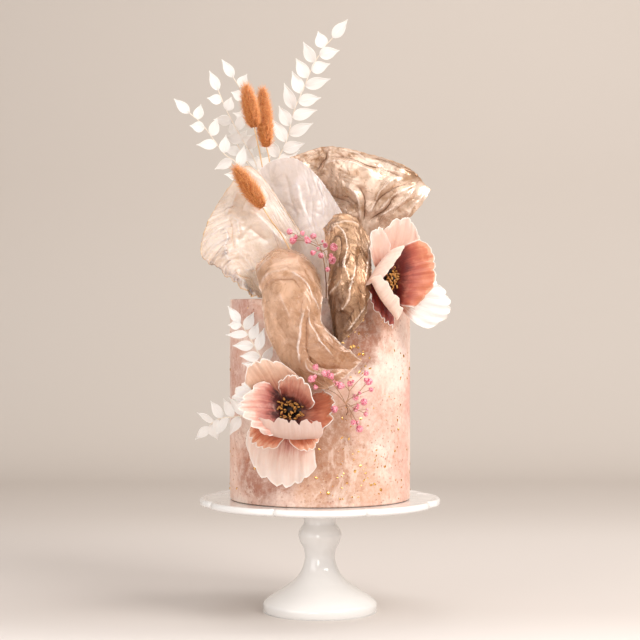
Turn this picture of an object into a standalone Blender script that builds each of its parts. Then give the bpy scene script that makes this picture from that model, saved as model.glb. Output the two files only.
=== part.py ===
"""A tall marbled cake on its porcelain stand, dressed with paper sails, two poppies and dried sprigs.

Every number below is in millimetres and is turned into metres when a mesh is made. The origin is the centre
of the stand's foot on the table, +Z is up, and the dressed face of the cake looks along -Y.
"""
import math
import random
from dataclasses import dataclass

import bmesh
import bpy
import numpy as np

MM = 0.001
GAP = 0.3

# The stand: a turned porcelain plate on a stem, with a scalloped rim
PLATE_TOP = 95.0
STAND_PROFILE = (
    (0, 0), (47, 0), (48, 7), (46, 9.5), (38.5, 15), (25, 23.5), (17.1, 32), (13, 42),
    (14, 53), (18.3, 63), (14.5, 72), (13.7, 78), (20, 84), (60, 88), (96, 89.5), (101.5, 92.5),
    (99.5, 96), (94, PLATE_TOP), (0, PLATE_TOP),
)
STAND_SEGMENTS = 48
LOBES = 8
LOBE_BULGE = 1.2
NOTCH_DEPTH = 3.8
NOTCH_SHARPNESS = 9
SCALLOP_FROM, SCALLOP_TO = 70.0, 96.0

# The cake: one tall tier with a crisp rim
CAKE_RADIUS = 76.0
CAKE_BOTTOM = PLATE_TOP + GAP
CAKE_TOP = 262.7
CAKE_EDGE = 0.7
CAKE_SEGMENTS = 64
CAKE_CLEAR_TOP = CAKE_TOP + 0.9

# Metal-leaf flecks pressed on the iced side
FLECK_SEED = 5
FLECK_THICKNESS = 1.1
FLECK_BANDS = (
    # count, angle from +X, spread of the angle, height, spread of the height, size
    (6, -62, 7, 216, 15, 5.4),
    (6, -45, 14, 160, 22, 4.4),
    (6, -66, 16, 130, 14, 4.8),
    (4, -28, 12, 190, 40, 4.0),
    (3, -100, 10, 106, 5, 3.8),
    (4, 130, 60, 180, 50, 4.0),
)

PAPER_THICKNESS = 0.8
PETAL_THICKNESS = 0.8
LEAF_THICKNESS = 0.9

# Angles in degrees past which an edge is shaded sharp
STAND_CREASE, CAKE_CREASE, SHEET_CREASE, TAIL_CREASE = 30.0, 35.0, 60.0, 40.0

# A direction that no stem or stalk runs along, to start a frame from
ASLANT = (0.31, 0.9, 0.2)
FORWARD = (0.0, -1.0, 0.0)


@dataclass(frozen=True)
class Finish:
    """Colour, roughness and metallic value of one material."""

    colour: tuple
    roughness: float
    metallic: float = 0.0


FINISHES = {
    "porcelain": Finish((0.93, 0.91, 0.88), 0.12),
    "icing": Finish((0.86, 0.62, 0.5), 0.55),
    "pale_paper": Finish((0.93, 0.84, 0.79), 0.45),
    "champagne_paper": Finish((0.80, 0.62, 0.45), 0.4, 0.25),
    "bronze_paper": Finish((0.55, 0.33, 0.17), 0.35, 0.6),
    "gold_paper": Finish((0.78, 0.52, 0.24), 0.32, 0.75),
    "petal": Finish((0.92, 0.72, 0.62), 0.6),
    "heart": Finish((0.10, 0.05, 0.04), 0.7),
    "leaf": Finish((0.88, 0.78, 0.68), 0.6),
    "tail": Finish((0.66, 0.38, 0.20), 0.9),
    "blossom": Finish((0.86, 0.60, 0.55), 0.8),
}


@dataclass(frozen=True)
class Sail:
    """A crumpled sheet of paper: rows of control points run from its root on the cake to its free edge."""

    name: str
    finish: str
    rows: tuple
    folds: float
    depth: float
    phase: float = 0.0
    grid: tuple = (12, 11)


SAILS = (
    Sail(
        "pale_sail_right", "pale_paper",
        (
            ((-12, 4, CAKE_CLEAR_TOP), (-7, -1, CAKE_CLEAR_TOP), (-2, -2, CAKE_CLEAR_TOP),
             (3, 0, CAKE_CLEAR_TOP), (7, 4, CAKE_CLEAR_TOP)),
            ((-41, 12, 326), (-31, 4, 328), (-13, -4, 328), (1, -4, 325), (14, 2, 313)),
            ((-60, 18, 365), (-45, 13, 380), (-20, 5, 382), (2, -1, 362), (20, 1, 334)),
        ),
        folds=1.6, depth=2.0,
    ),
    Sail(
        "pale_sail_left", "pale_paper",
        (
            ((-49, -42, CAKE_CLEAR_TOP), (-47, -35, CAKE_CLEAR_TOP), (-46, -30, CAKE_CLEAR_TOP),
             (-43, -22, CAKE_CLEAR_TOP), (-40, -15, CAKE_CLEAR_TOP), (-38, -11, CAKE_CLEAR_TOP),
             (-35, -8, CAKE_CLEAR_TOP)),
            ((-50, -55, 266), (-60, -51, 274), (-70, -44, 289), (-69, -34, 305), (-59, -25, 320),
             (-46, -19, 328), (-25, -12, 301)),
            ((-49, -65, 262), (-72, -54, 279), (-97, -38, 297), (-93, -29, 327), (-76, -21, 356),
             (-57, -14, 373), (-14, -12, 317)),
        ),
        folds=1.9, depth=2.0, phase=1.0,
    ),
    Sail(
        "gold_sail", "gold_paper",
        (
            ((20, 14, CAKE_CLEAR_TOP), (24, 9, CAKE_CLEAR_TOP), (28, 7, CAKE_CLEAR_TOP),
             (32, 9, CAKE_CLEAR_TOP), (36, 14, CAKE_CLEAR_TOP)),
            ((22, 16, 314), (28, 7, 318), (34, 3, 320), (40, 6, 319), (48, 14, 312)),
            ((-7, 25, 355), (11, 14, 365), (32, -4, 365), (56, -5, 358), (79, 6, 335)),
            ((-28, 32, 386), (1, 22, 394), (30, 10, 389), (66, 4, 374), (92, 12, 353)),
        ),
        folds=1.7, depth=2.0, phase=0.6, grid=(12, 12),
    ),
    Sail(
        "champagne_drape", "champagne_paper",
        (
            ((-28, -24, CAKE_CLEAR_TOP), (-21, -24, CAKE_CLEAR_TOP), (-15, -24, CAKE_CLEAR_TOP),
             (-8, -24, CAKE_CLEAR_TOP), (-2, -24, CAKE_CLEAR_TOP)),
            ((-46, -38, 290), (-34, -38, 302), (-20, -36, 300), (-10, -35, 291), (-3, -33, 283)),
            ((-52, -64, 286), (-38, -76, 293), (-20, -78, 293), (-8, -73, 289), (0, -62, 278)),
            ((-46, -84, 263), (-34, -95, 264), (-20, -99, 264), (-8, -95, 264), (2, -86, 261)),
            ((-43, -86, 241), (-31, -95, 237), (-18, -99, 237), (-7, -97, 239), (2, -89, 244)),
            ((-36, -86, 222), (-24, -94, 215), (-9, -101, 215), (4, -99, 223), (16, -91, 226)),
            ((-21, -84, 203), (-9, -90, 194), (3, -96, 190), (18, -93, 199), (34, -84, 213)),
        ),
        folds=1.2, depth=1.2, phase=2.0, grid=(14, 10),
    ),
    Sail(
        "bronze_drape", "bronze_paper",
        (
            ((12, -26, CAKE_CLEAR_TOP), (18, -26, CAKE_CLEAR_TOP), (25, -26, CAKE_CLEAR_TOP),
             (31, -26, CAKE_CLEAR_TOP)),
            ((8, -26, 303), (17, -23, 309), (27, -23, 308), (35, -26, 302)),
            ((3, -36, 320), (14, -36, 332), (28, -36, 330), (39, -36, 314)),
            ((6, -56, 304), (15, -66, 309), (28, -65, 309), (40, -52, 301)),
            ((7, -72, 282), (15, -84, 284), (28, -83, 284), (40, -68, 279)),
            ((7, -80, 261), (15, -90, 260), (28, -90, 260), (38, -75, 263)),
            ((12, -80, 227), (16, -82, 226), (24, -80, 233), (33, -77, 245)),
        ),
        folds=1.2, depth=1.2, phase=0.4, grid=(14, 9),
    ),
)


@dataclass(frozen=True)
class Petal:
    """One petal: its spine's middle and tip from the flower's centre, its width, and its cupping.

    layer counts the petals from the back, and each layer starts a little further forward. spread is the way
    of its width, where that isn't square to the spine. shoulder rounds its outline, base_share is the width at
    its base and pinch narrows it again towards its tip, each as a share.
    """

    name: str
    middle: tuple
    tip: tuple
    width: float
    layer: int
    cup: float
    frill: float
    spread: tuple = ()
    shoulder: float = 0.22
    base_share: float = 0.16
    pinch: float = 0.0


@dataclass(frozen=True)
class Poppy:
    """A flower of paper petals round a dark heart; axis points out of its face."""

    name: str
    centre: tuple
    axis: tuple
    petals: tuple
    heart_rise: float = 5.0


POPPIES = (
    Poppy(
        "front_poppy", (-23, -88, 172), (0.0, -0.94, 0.34),
        (
            Petal("low", (-8, 2, -28), (-12, 6, -61), 60, 0, 2.0, 0.9, shoulder=0.36, base_share=0.1),
            Petal("left_back", (-20, 6, 11), (-46, 7, 21), 36, 0, 2.0, 1.2, shoulder=0.3),
            Petal("top", (-12, -8, 23), (-24, -17, 46), 38, 1, 1.5, 0.9, (1.0, 0.1, 0.12), 0.34),
            Petal("low_left", (-15, -6, -11), (-31, -12, -23), 30, 2, 1.5, 0.9, shoulder=0.3),
            Petal("right", (20, -4, 0), (37, -11, 5), 34, 2, 1.5, 1.1, shoulder=0.34),
            Petal("low_right", (9, -13, -15), (17, -21, -30), 25, 3, 1.5, 1.0, shoulder=0.34),
            Petal("inner_left", (-17, -17, 6), (-40, -27, 13), 33, 4, 4.0, 1.1, shoulder=0.32),
            Petal("inner_top", (6, -15, 15), (9, -24, 32), 30, 4, 3.0, 0.9, shoulder=0.3),
            Petal("inner_cup", (0, -25, -20), (1, -33, -1), 46, 5, 6.0, 0.8),
        ),
    ),
    Poppy(
        "top_poppy", (54, -62, 278), (0.62, -0.78, 0.1),
        (
            Petal("low_back", (-1, -6, -19), (2, -9, -36), 30, 0, 2.0, 0.8),
            Petal("top_left", (-8, -4, 22), (-9, -5, 43), 22, 1, 1.5, 0.8, shoulder=0.34),
            Petal("right", (20, -2, 5), (43, 8, 9), 48, 2, 3.0, 0.9, (0.05, 0.1, 1.0), 0.34, 0.16),
            Petal("top", (9, 9, 27), (15, 12, 53), 34, 0, 2.0, 1.0, (1.0, 0.2, -0.1), 0.36, 0.1),
            Petal("low_right", (23, 9, -18), (53, 14, -22), 44, 0, 2.0, 1.1, (0.15, 0.1, -0.98), 0.34, 0.1),
            Petal("inner_left", (-11, -15, 13), (6, -24, 18), 30, 4, 2.0, 0.5, (0.55, 0.1, 0.83), 0.05, 0.16, 0.1),
            Petal("inner_low", (-6, -23, -17), (4, -31, -8), 40, 5, 3.0, 0.6, (0.55, -0.05, -0.83), 0.05, 0.3, 0.25),
        ),
        heart_rise=3.0,
    ),
)
PETAL_RING = 6.0
PETAL_LAYER = 1.4
PETAL_SETBACK = 2.0
HEART_RADIUS = 4.2
STAMENS = 9
STAMEN_REACH = 8.0
STAMEN_SPREAD = 6.5
STAMEN_RADII = (0.5, 1.0)


@dataclass(frozen=True)
class Sprig:
    """A stem with pointed leaves set alternately on both sides, and one leaf at its tip."""

    name: str
    route: tuple
    leaves: int
    leaves_from: float
    length: float = 17.0
    width: float = 8.0
    angle: float = 52.0
    first_side: int = 1


STEM_FOOT = CAKE_TOP + 0.8
SPRIGS = (
    Sprig("sprig_tall", ((-39, 30, STEM_FOOT), (-43, 37, 315), (-43, 42, 358), (-38, 44, 382), (-29, 44, 402),
                         (-23, 42, 426), (-14, 38, 447), (-7, 33, 463), (2, 28, 478), (11, 24, 488)),
          22, 0.42, 20.0, 9.5, 50.0),
    Sprig("sprig_left_inner", ((-34, 30, STEM_FOOT), (-38, 42, 332), (-49, 54, 380), (-58, 54, 413),
                               (-67, 53, 442), (-76, 52, 458)), 9, 0.58, 16.0, 9.0),
    Sprig("sprig_left_middle", ((-43, 22, STEM_FOOT), (-45, 30, 332), (-55, 36, 379), (-68, 36, 403),
                                (-81, 35, 427), (-88, 34, 444)), 9, 0.58, 16.0, 9.0, first_side=-1),
    Sprig("sprig_left_outer", ((-48, 14, STEM_FOOT), (-55, 28, 332), (-69, 28, 376), (-83, 24, 389),
                               (-100, 22, 412), (-112, 22, 423)), 9, 0.58, 18.0, 9.0),
    Sprig("sprig_left_back", ((-28, 36, STEM_FOOT), (-35, 54, 324), (-51, 64, 364), (-65, 66, 386),
                              (-74, 66, 404), (-71, 66, 418)), 8, 0.6, 16.0, 9.0),
    Sprig("sprig_side_up", ((-43, -74, 204), (-47, -78, 215), (-53, -78, 226), (-59, -73, 236),
                            (-64, -69, 243)), 8, 0.1, 17.0, 10.0, 62.0),
    Sprig("sprig_side_low", ((-50, -74, 172), (-57, -73, 170), (-66, -71, 168), (-76, -66, 167),
                             (-85, -58, 164), (-90, -53, 159)), 6, 0.3, 20.0, 10.5, 58.0, -1),
)
STEM_RADIUS = 0.9
LEAF_BASE = 1.3
LEAF_SECTIONS = ((0.34, 1.0, 0.05), (0.72, 0.72, -0.02), (1.0, 0.06, 0.03))


@dataclass(frozen=True)
class Tail:
    """A bunny-tail grass: a stem along route, then a furry head up to head_end."""

    name: str
    route: tuple
    head_end: tuple


TAILS = (
    Tail("tail_left", ((-31, 16, STEM_FOOT), (-41, 20, 327), (-50, 25, 379), (-56, 15, 410)), (-64, 8, 449)),
    Tail("tail_right", ((-26, 20, STEM_FOOT), (-37, 23, 327), (-43, 24, 379), (-46, 23, 394)), (-50, 23, 449)),
    Tail("tail_low", ((-18, -13, STEM_FOOT), (-22, -22, 294), (-30, -27, 313), (-40, -33, 327),
                      (-47, -36, 338)), (-73, -38, 375)),
)
TAIL_RADIUS = 7.0
TAIL_SIDES = 7


@dataclass(frozen=True)
class Spray:
    """Small round blossoms on thin stalks that fan out from the end of a stem."""

    name: str
    stem: tuple
    blossoms: tuple


SPRAYS = (
    Spray("blossoms_top", ((5, -45, STEM_FOOT), (5, -58, 275), (3.5, -68, 290), (1, -72, 301)), (
        (-24, -50, 317), (-21, -54, 310), (-14, -60, 315), (-9, -66, 309), (-5, -56, 313), (4, -82, 305),
        (10, -86, 303), (-5, -82, 299), (1, -86, 297), (9, -94, 293), (6, -90, 286))),
    Spray("blossoms_low", ((21, -78.5, 170), (22, -90, 174), (20, -104, 181)), (
        (-3, -110, 208), (-6, -108, 199), (-3, -107, 193), (4, -106, 203), (9, -106, 201), (13, -104, 195),
        (17, -103, 194), (23, -102, 195), (36, -92, 203), (38, -88, 196), (40, -84, 190), (28, -92, 185),
        (34, -84, 180), (36, -82, 171), (28, -88, 175), (26, -88, 165), (31, -83, 160))),
)
STALK_RADIUS = 0.45
HUB_RADIUS = 1.3
BLOSSOM_RADIUS = 2.1


def clear_scene():
    """Remove what the new file opened with."""
    for thing in list(bpy.data.objects):
        bpy.data.objects.remove(thing, do_unlink=True)


def material(name):
    """Return the named material, making it the first time."""
    found = bpy.data.materials.get(name)
    if found:
        return found
    finish = FINISHES[name]
    made = bpy.data.materials.new(name)
    made.use_nodes = True
    shader = made.node_tree.nodes["Principled BSDF"]
    shader.inputs["Base Color"].default_value = (*finish.colour, 1.0)
    shader.inputs["Roughness"].default_value = finish.roughness
    shader.inputs["Metallic"].default_value = finish.metallic
    made.diffuse_color = (*finish.colour, 1.0)
    return made


def add_solid(name, shape, finish):
    """Make an object from (points, faces), with every face triangulated and turned outwards."""
    points, faces = shape
    mesh = bpy.data.meshes.new(name)
    mesh.from_pydata([tuple(float(value) * MM for value in point) for point in points], [], faces)
    work = bmesh.new()
    work.from_mesh(mesh)
    bmesh.ops.recalc_face_normals(work, faces=work.faces)
    bmesh.ops.triangulate(work, faces=work.faces)
    work.to_mesh(mesh)
    work.free()
    mesh.materials.append(material(finish))
    thing = bpy.data.objects.new(name, mesh)
    bpy.context.scene.collection.objects.link(thing)
    return thing


def fuse(name, shapes, finish):
    """Join closed shapes that overlap into one solid by one Boolean union on a collection."""
    body = add_solid(name, shapes[0], finish)
    others = bpy.data.collections.new(name + "_pieces")
    bpy.context.scene.collection.children.link(others)
    for index, shape in enumerate(shapes[1:]):
        piece = add_solid(f"{name}_piece_{index}", shape, finish)
        bpy.context.scene.collection.objects.unlink(piece)
        others.objects.link(piece)
    join = body.modifiers.new("join", "BOOLEAN")
    join.operation = "UNION"
    join.operand_type = "COLLECTION"
    join.collection = others
    join.solver = "EXACT"
    joined = bpy.data.meshes.new_from_object(body.evaluated_get(bpy.context.evaluated_depsgraph_get()))
    body.modifiers.clear()
    body.data = joined
    for piece in list(others.objects):
        bpy.data.objects.remove(piece, do_unlink=True)
    bpy.data.collections.remove(others)
    return body


def smooth(thing, angle):
    """Shade a round piece smooth, with its edges past the angle kept sharp."""
    thing.data.shade_smooth()
    thing.data.set_sharp_from_angle(angle=math.radians(angle))
    return thing


def unit(vector):
    """Return the vector at length one."""
    vector = np.asarray(vector, float)
    return vector / np.linalg.norm(vector)


def ease(value):
    """Smooth step between 0 and 1."""
    value = min(max(value, 0.0), 1.0)
    return value * value * (3.0 - 2.0 * value)


def spline_weights(knots, samples):
    """Weights that turn `knots` control values into `samples` values on a curve through all of them."""
    weights = np.zeros((samples, knots))
    padded = np.zeros((knots + 2, knots))
    padded[1:-1] = np.eye(knots)
    padded[0] = 2 * padded[1] - padded[2]
    padded[-1] = 2 * padded[-2] - padded[-3]
    for index, place in enumerate(np.linspace(0, knots - 1, samples)):
        start = min(int(place), knots - 2)
        t = place - start
        before, here, after, beyond = padded[start:start + 4]
        weights[index] = 0.5 * (
            2 * here + (after - before) * t + (2 * before - 5 * here + 4 * after - beyond) * t ** 2
            + (3 * here - before - 3 * after + beyond) * t ** 3)
    return weights


def surface(rows, count_u, count_v):
    """Sample the smooth surface through a net of control points."""
    net = np.array(rows, float)
    along = spline_weights(net.shape[0], count_u)
    across = spline_weights(net.shape[1], count_v)
    return np.einsum("ai,bj,ijk->abk", along, across, net)


def normals(grid):
    """Unit normals of a grid of points."""
    across = np.cross(np.gradient(grid, axis=0), np.gradient(grid, axis=1))
    return across / np.linalg.norm(across, axis=2, keepdims=True)


def sheet(grid, thickness):
    """Thicken a grid of points into a closed sheet, both faces split into triangles alike."""
    count_u, count_v = grid.shape[:2]
    offset = normals(grid) * (thickness / 2)
    points = np.concatenate([(grid + offset).reshape(-1, 3), (grid - offset).reshape(-1, 3)])
    below = count_u * count_v
    faces = []
    for u in range(count_u - 1):
        for v in range(count_v - 1):
            a, b = u * count_v + v, u * count_v + v + 1
            c, d = b + count_v, a + count_v
            for corner in ((a, b, c), (a, c, d)):
                faces.append(corner)
                faces.append(tuple(index + below for index in reversed(corner)))
    border = list(range(count_v))
    border += [u * count_v + count_v - 1 for u in range(1, count_u)]
    border += [(count_u - 1) * count_v + v for v in range(count_v - 2, -1, -1)]
    border += [u * count_v for u in range(count_u - 2, 0, -1)]
    for here, after in zip(border, border[1:] + border[:1]):
        faces.append((after, here, here + below, after + below))
    return points, faces


def tube(route, radii, sides):
    """Sweep a round section of changing radius along a route, with closed ends."""
    route = np.array(route, float)
    tangents = np.gradient(route, axis=0)
    upright = unit(np.cross(tangents[0], ASLANT))
    points = []
    for place, tangent, radius in zip(route, tangents, radii):
        tangent = unit(tangent)
        upright = unit(upright - tangent * np.dot(upright, tangent))
        beside = np.cross(tangent, upright)
        for side in range(sides):
            turn = 2 * math.pi * side / sides
            points.append(place + radius * (math.cos(turn) * upright + math.sin(turn) * beside))
    faces = []
    for ring in range(len(route) - 1):
        for side in range(sides):
            a = ring * sides + side
            b = ring * sides + (side + 1) % sides
            faces.append((a, b, b + sides, a + sides))
    last = (len(route) - 1) * sides
    faces.append(tuple(range(sides)))
    faces.append(tuple(range(last + sides - 1, last - 1, -1)))
    return points, faces


def turned(profile, segments, scale=lambda angle, radius: 1.0):
    """Turn a profile of (radius, height) that starts and ends on the axis."""
    points, rings = [], []
    for radius, height in profile:
        if radius == 0:
            rings.append([len(points)])
            points.append((0, 0, height))
            continue
        rings.append(list(range(len(points), len(points) + segments)))
        for step in range(segments):
            angle = 2 * math.pi * step / segments
            reach = radius * scale(angle, radius)
            points.append((reach * math.cos(angle), reach * math.sin(angle), height))
    faces = []
    for lower, upper in zip(rings, rings[1:]):
        for step in range(segments):
            after = (step + 1) % segments
            corners = (lower[step % len(lower)], lower[after % len(lower)],
                       upper[after % len(upper)], upper[step % len(upper)])
            faces.append(tuple(dict.fromkeys(corners)))
    return points, faces


def ball(centre, radius, squash=1.0, axis=(0.1, 0.2, 1.0), rings=3, sides=5):
    """A low faceted ball, squashed or drawn out along its axis."""
    steps = [math.pi * step / rings for step in range(rings + 1)]
    profile = [(radius * math.sin(step) if 0 < index < rings else 0, -radius * squash * math.cos(step))
               for index, step in enumerate(steps)]
    points, faces = turned(profile, sides)
    axis = unit(axis)
    aside = unit(np.cross(axis, ASLANT))
    upward = np.cross(axis, aside)
    points = [np.array(centre, float) + aside * x + upward * y + axis * z for x, y, z in points]
    return points, faces


def make_stand():
    """The porcelain stand, its rim pulled in at a notch between each two lobes."""
    lobe_angle = 2 * math.pi / LOBES

    def scallop(angle, radius):
        across = 2 * abs((angle + lobe_angle / 2) % lobe_angle / lobe_angle - 0.5)
        inset = LOBE_BULGE * across ** 2 + NOTCH_DEPTH * across ** NOTCH_SHARPNESS
        share = ease((radius - SCALLOP_FROM) / (SCALLOP_TO - SCALLOP_FROM))
        return 1.0 - share * inset / radius

    smooth(add_solid("stand", turned(STAND_PROFILE, STAND_SEGMENTS, scallop), "porcelain"), STAND_CREASE)


def fleck(angle, height, size, roll):
    """One crumpled fleck of metal leaf that lies on the cake's side and reaches just into it."""
    outward = np.array((math.cos(angle), math.sin(angle), 0.0))
    along = np.array((-math.sin(angle), math.cos(angle), 0.0))
    centre = outward * (CAKE_RADIUS - 0.1) + np.array((0, 0, height))
    corners = 4
    points = []
    for level in (-FLECK_THICKNESS / 2, FLECK_THICKNESS / 2):
        for corner in range(corners):
            turn = roll + 2 * math.pi * corner / corners
            reach = size / 2 * (0.75 + 0.25 * math.cos(2 * turn + roll))
            points.append(centre + outward * level + along * reach * math.cos(turn)
                          + np.array((0, 0, reach * 0.7 * math.sin(turn))))
    faces = [tuple(range(corners)), tuple(range(2 * corners - 1, corners - 1, -1))]
    for corner in range(corners):
        after = (corner + 1) % corners
        faces.append((after, corner, corner + corners, after + corners))
    return points, faces


def make_cake():
    """The iced cake with its metal-leaf flecks fused on."""
    profile = (
        (0, CAKE_BOTTOM), (CAKE_RADIUS - CAKE_EDGE, CAKE_BOTTOM), (CAKE_RADIUS, CAKE_BOTTOM + CAKE_EDGE),
        (CAKE_RADIUS, CAKE_TOP - CAKE_EDGE), (CAKE_RADIUS - CAKE_EDGE, CAKE_TOP), (0, CAKE_TOP),
    )
    draw = random.Random(FLECK_SEED)
    shapes = [turned(profile, CAKE_SEGMENTS)]
    for count, angle, angle_spread, height, height_spread, size in FLECK_BANDS:
        for _ in range(count):
            turn = math.radians(angle + draw.uniform(-angle_spread, angle_spread))
            level = height + draw.uniform(-height_spread, height_spread)
            level = max(level, CAKE_BOTTOM + 4.0)
            shapes.append(fleck(turn, level, size * draw.uniform(0.7, 1.3), draw.uniform(0, 6)))
    smooth(fuse("cake", shapes, "icing"), CAKE_CREASE)


def sail_grid(sail, count_u, count_v):
    """The sail's middle surface, with folds that fan out from its root."""
    grid = surface(sail.rows, count_u, count_v)
    u = np.linspace(0, 1, count_u)[:, None]
    v = np.linspace(0, 1, count_v)[None, :]
    wave = np.sin(2 * math.pi * sail.folds * v + sail.phase)
    wave = wave + 0.35 * np.sin(2 * math.pi * 2.3 * sail.folds * v + 1.7 * sail.phase + 3.0 * u)
    lift = sail.depth * (0.3 + 0.7 * u) * wave * np.minimum(1.0, 5.0 * u)
    return grid + normals(grid) * lift[:, :, None]


def make_sails():
    """The five sheets of paper that stand on and hang over the cake."""
    for sail in SAILS:
        shape = sheet(sail_grid(sail, *sail.grid), PAPER_THICKNESS)
        smooth(add_solid(sail.name, shape, sail.finish), SHEET_CREASE)


def petal_grid(poppy, petal, rows=6, columns=6):
    """A petal's middle surface: a broad fan along a curved spine, cupped and frilled."""
    centre, axis = np.array(poppy.centre, float), unit(poppy.axis)
    middle, tip = centre + petal.middle, centre + petal.tip
    outward = np.array(petal.middle, float)
    outward = unit(outward - axis * np.dot(outward, axis))
    base = centre + outward * PETAL_RING + axis * (petal.layer * PETAL_LAYER - PETAL_SETBACK)
    control = 2 * middle - (base + tip) / 2
    side = unit(petal.spread if petal.spread else np.cross(middle - base, axis))
    inward = 1.0 if np.dot(np.cross(side, middle - base), axis) > 0 else -1.0
    grid = np.zeros((rows, columns, 3))
    for i, u in enumerate(np.linspace(0, 1, rows)):
        share = petal.base_share + (1 - petal.base_share) * math.sin(math.pi / 2 * u ** 0.8)
        half = petal.width / 2 * share * (1 - petal.pinch * u ** 3)
        for j, v in enumerate(np.linspace(-1, 1, columns)):
            t = u * (1 - petal.shoulder * abs(v) ** 2.4)
            spine = (1 - t) ** 2 * base + 2 * t * (1 - t) * control + t ** 2 * tip
            tangent = unit(2 * (1 - t) * (control - base) + 2 * t * (tip - control))
            normal = inward * unit(np.cross(side, tangent))
            lift = petal.cup * v * v * u + petal.frill * u ** 2 * math.sin(5.0 * v + petal.layer)
            grid[i, j] = spine + side * half * v + normal * lift
    return grid


def make_poppy(poppy):
    """A poppy's petals, each its own sheet, round a heart with a ring of stamens."""
    for petal in poppy.petals:
        shape = sheet(petal_grid(poppy, petal), PETAL_THICKNESS)
        smooth(add_solid(f"{poppy.name}_{petal.name}", shape, "petal"), SHEET_CREASE)
    centre, axis = np.array(poppy.centre, float), unit(poppy.axis)
    aside = unit(np.cross(axis, (0, 0, 1)))
    upward = np.cross(aside, axis)
    heart = centre + axis * poppy.heart_rise
    shapes = [ball(heart, HEART_RADIUS, 1.5, axis, 4, 7)]
    for index in range(STAMENS):
        turn = 2 * math.pi * index / STAMENS
        outward = math.cos(turn) * aside + math.sin(turn) * upward
        end = heart + outward * STAMEN_SPREAD + axis * STAMEN_REACH
        shapes.append(tube([heart + axis * 2.0, end], STAMEN_RADII, 3))
    fuse(f"{poppy.name}_heart", shapes, "heart")


def make_sprig(sprig):
    """A leafy sprig as one solid: each leaf grows out of a short stretch of the stem's side.

    The stem has a square section whose left and right faces look along `side`. A leaf's section is a thin
    rectangle, so its two faces are split into triangles alike.
    """
    knots = np.array(sprig.route, float)
    fine = spline_weights(len(knots), 400) @ knots
    travelled = np.concatenate([[0.0], np.cumsum(np.linalg.norm(np.diff(fine, axis=0), axis=1))])
    total = travelled[-1]

    def stem_point(distance):
        return np.array([np.interp(distance, travelled, fine[:, axis]) for axis in range(3)])

    def frame(distance):
        tangent = unit(stem_point(min(distance + 2.0, total)) - stem_point(max(distance - 2.0, 0.0)))
        side = unit(np.cross(tangent, FORWARD))
        return tangent, side, np.cross(side, tangent)

    points, faces = [], []

    def add_ring(distance):
        tangent, side, front = frame(distance)
        reach = STEM_RADIUS * (1.0 - 0.3 * distance / total) / math.sqrt(2)
        first = len(points)
        for across, forward in ((1, 1), (-1, 1), (-1, -1), (1, -1)):
            points.append(stem_point(distance) + reach * (across * side + forward * front))
        return first

    def add_leaf(corners, base, direction, width_way, front, length, width):
        for share, spread, lift in LEAF_SECTIONS:
            middle = base + direction * (share * length) + front * (lift * length)
            ring = []
            for across, forward in ((-1, 1), (1, 1), (1, -1), (-1, -1)):
                ring.append(len(points))
                points.append(middle + width_way * (across * spread * width / 2)
                              + front * (forward * LEAF_THICKNESS / 2))
            for k in range(4):
                after = (k + 1) % 4
                faces.append((corners[k], corners[after], ring[after], ring[k]))
            corners = ring
        faces.append(tuple(corners))

    bare = [total * share for share in np.linspace(0.0, sprig.leaves_from, 5)[:-1]]
    rings = [(distance, 0) for distance in bare]
    for index, distance in enumerate(np.linspace(sprig.leaves_from, 0.95, sprig.leaves) * total):
        hand = sprig.first_side * (1 if index % 2 else -1)
        rings.append((distance - LEAF_BASE, hand))
        rings.append((distance + LEAF_BASE, 0))
    rings.append((total, 0))
    starts = [add_ring(distance) for distance, _ in rings]
    faces.append(tuple(range(starts[0], starts[0] + 4)))
    leaf_number = 0
    for (distance, hand), here, after in zip(rings, starts, starts[1:]):
        for k in range(4):
            following = (k + 1) % 4
            if (hand == 1 and k == 3) or (hand == -1 and k == 1):
                continue
            faces.append((here + k, here + following, after + following, after + k))
        if not hand:
            continue
        leaf_number += 1
        tangent, side, front = frame(distance + LEAF_BASE)
        turn = math.radians(sprig.angle + 8 * math.sin(2.7 * leaf_number))
        twist = 0.35 * math.sin(2.1 * leaf_number)
        direction = math.cos(turn) * tangent + math.sin(turn) * hand * side
        width_way = math.sin(turn) * tangent - math.cos(turn) * hand * side
        front = unit(front + twist * width_way)
        width_way = unit(width_way - front * np.dot(front, width_way))
        taper = 1.0 - 0.3 * max(0.0, distance / total - 0.75) / 0.25
        length = sprig.length * (0.92 + 0.1 * math.sin(1.9 * leaf_number)) * taper
        edge = (here, after, after + 3, here + 3) if hand == 1 else (here + 1, after + 1, after + 2, here + 2)
        base = stem_point(distance + LEAF_BASE) + side * hand * STEM_RADIUS * 0.6
        add_leaf(edge, base, direction, width_way, front, length, sprig.width)
    tangent, side, front = frame(total)
    cap = (starts[-1] + 1, starts[-1], starts[-1] + 3, starts[-1] + 2)
    add_leaf(cap, stem_point(total), tangent, side, front, sprig.length * 1.05, sprig.width * 0.9)
    add_solid(sprig.name, (points, faces), "leaf")


def make_tail(tail):
    """A bunny-tail grass as one swept solid."""
    knots = np.array(tail.route, float)
    stem = spline_weights(len(knots), len(knots) + 3) @ knots
    start, end = knots[-1], np.array(tail.head_end, float)
    head_steps = np.linspace(0.03, 1.0, 8)
    head = [start + (end - start) * step for step in head_steps]
    swell = [TAIL_RADIUS * (1.0 - abs(2.0 * step - 0.9) ** 2.6 / 1.1 ** 2.6) ** 0.5 for step in head_steps]
    radii = [STEM_RADIUS * 0.8] * len(stem) + [max(radius, 0.8) for radius in swell]
    smooth(add_solid(tail.name, tube(list(stem) + head, radii, TAIL_SIDES), "tail"), TAIL_CREASE)


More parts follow.
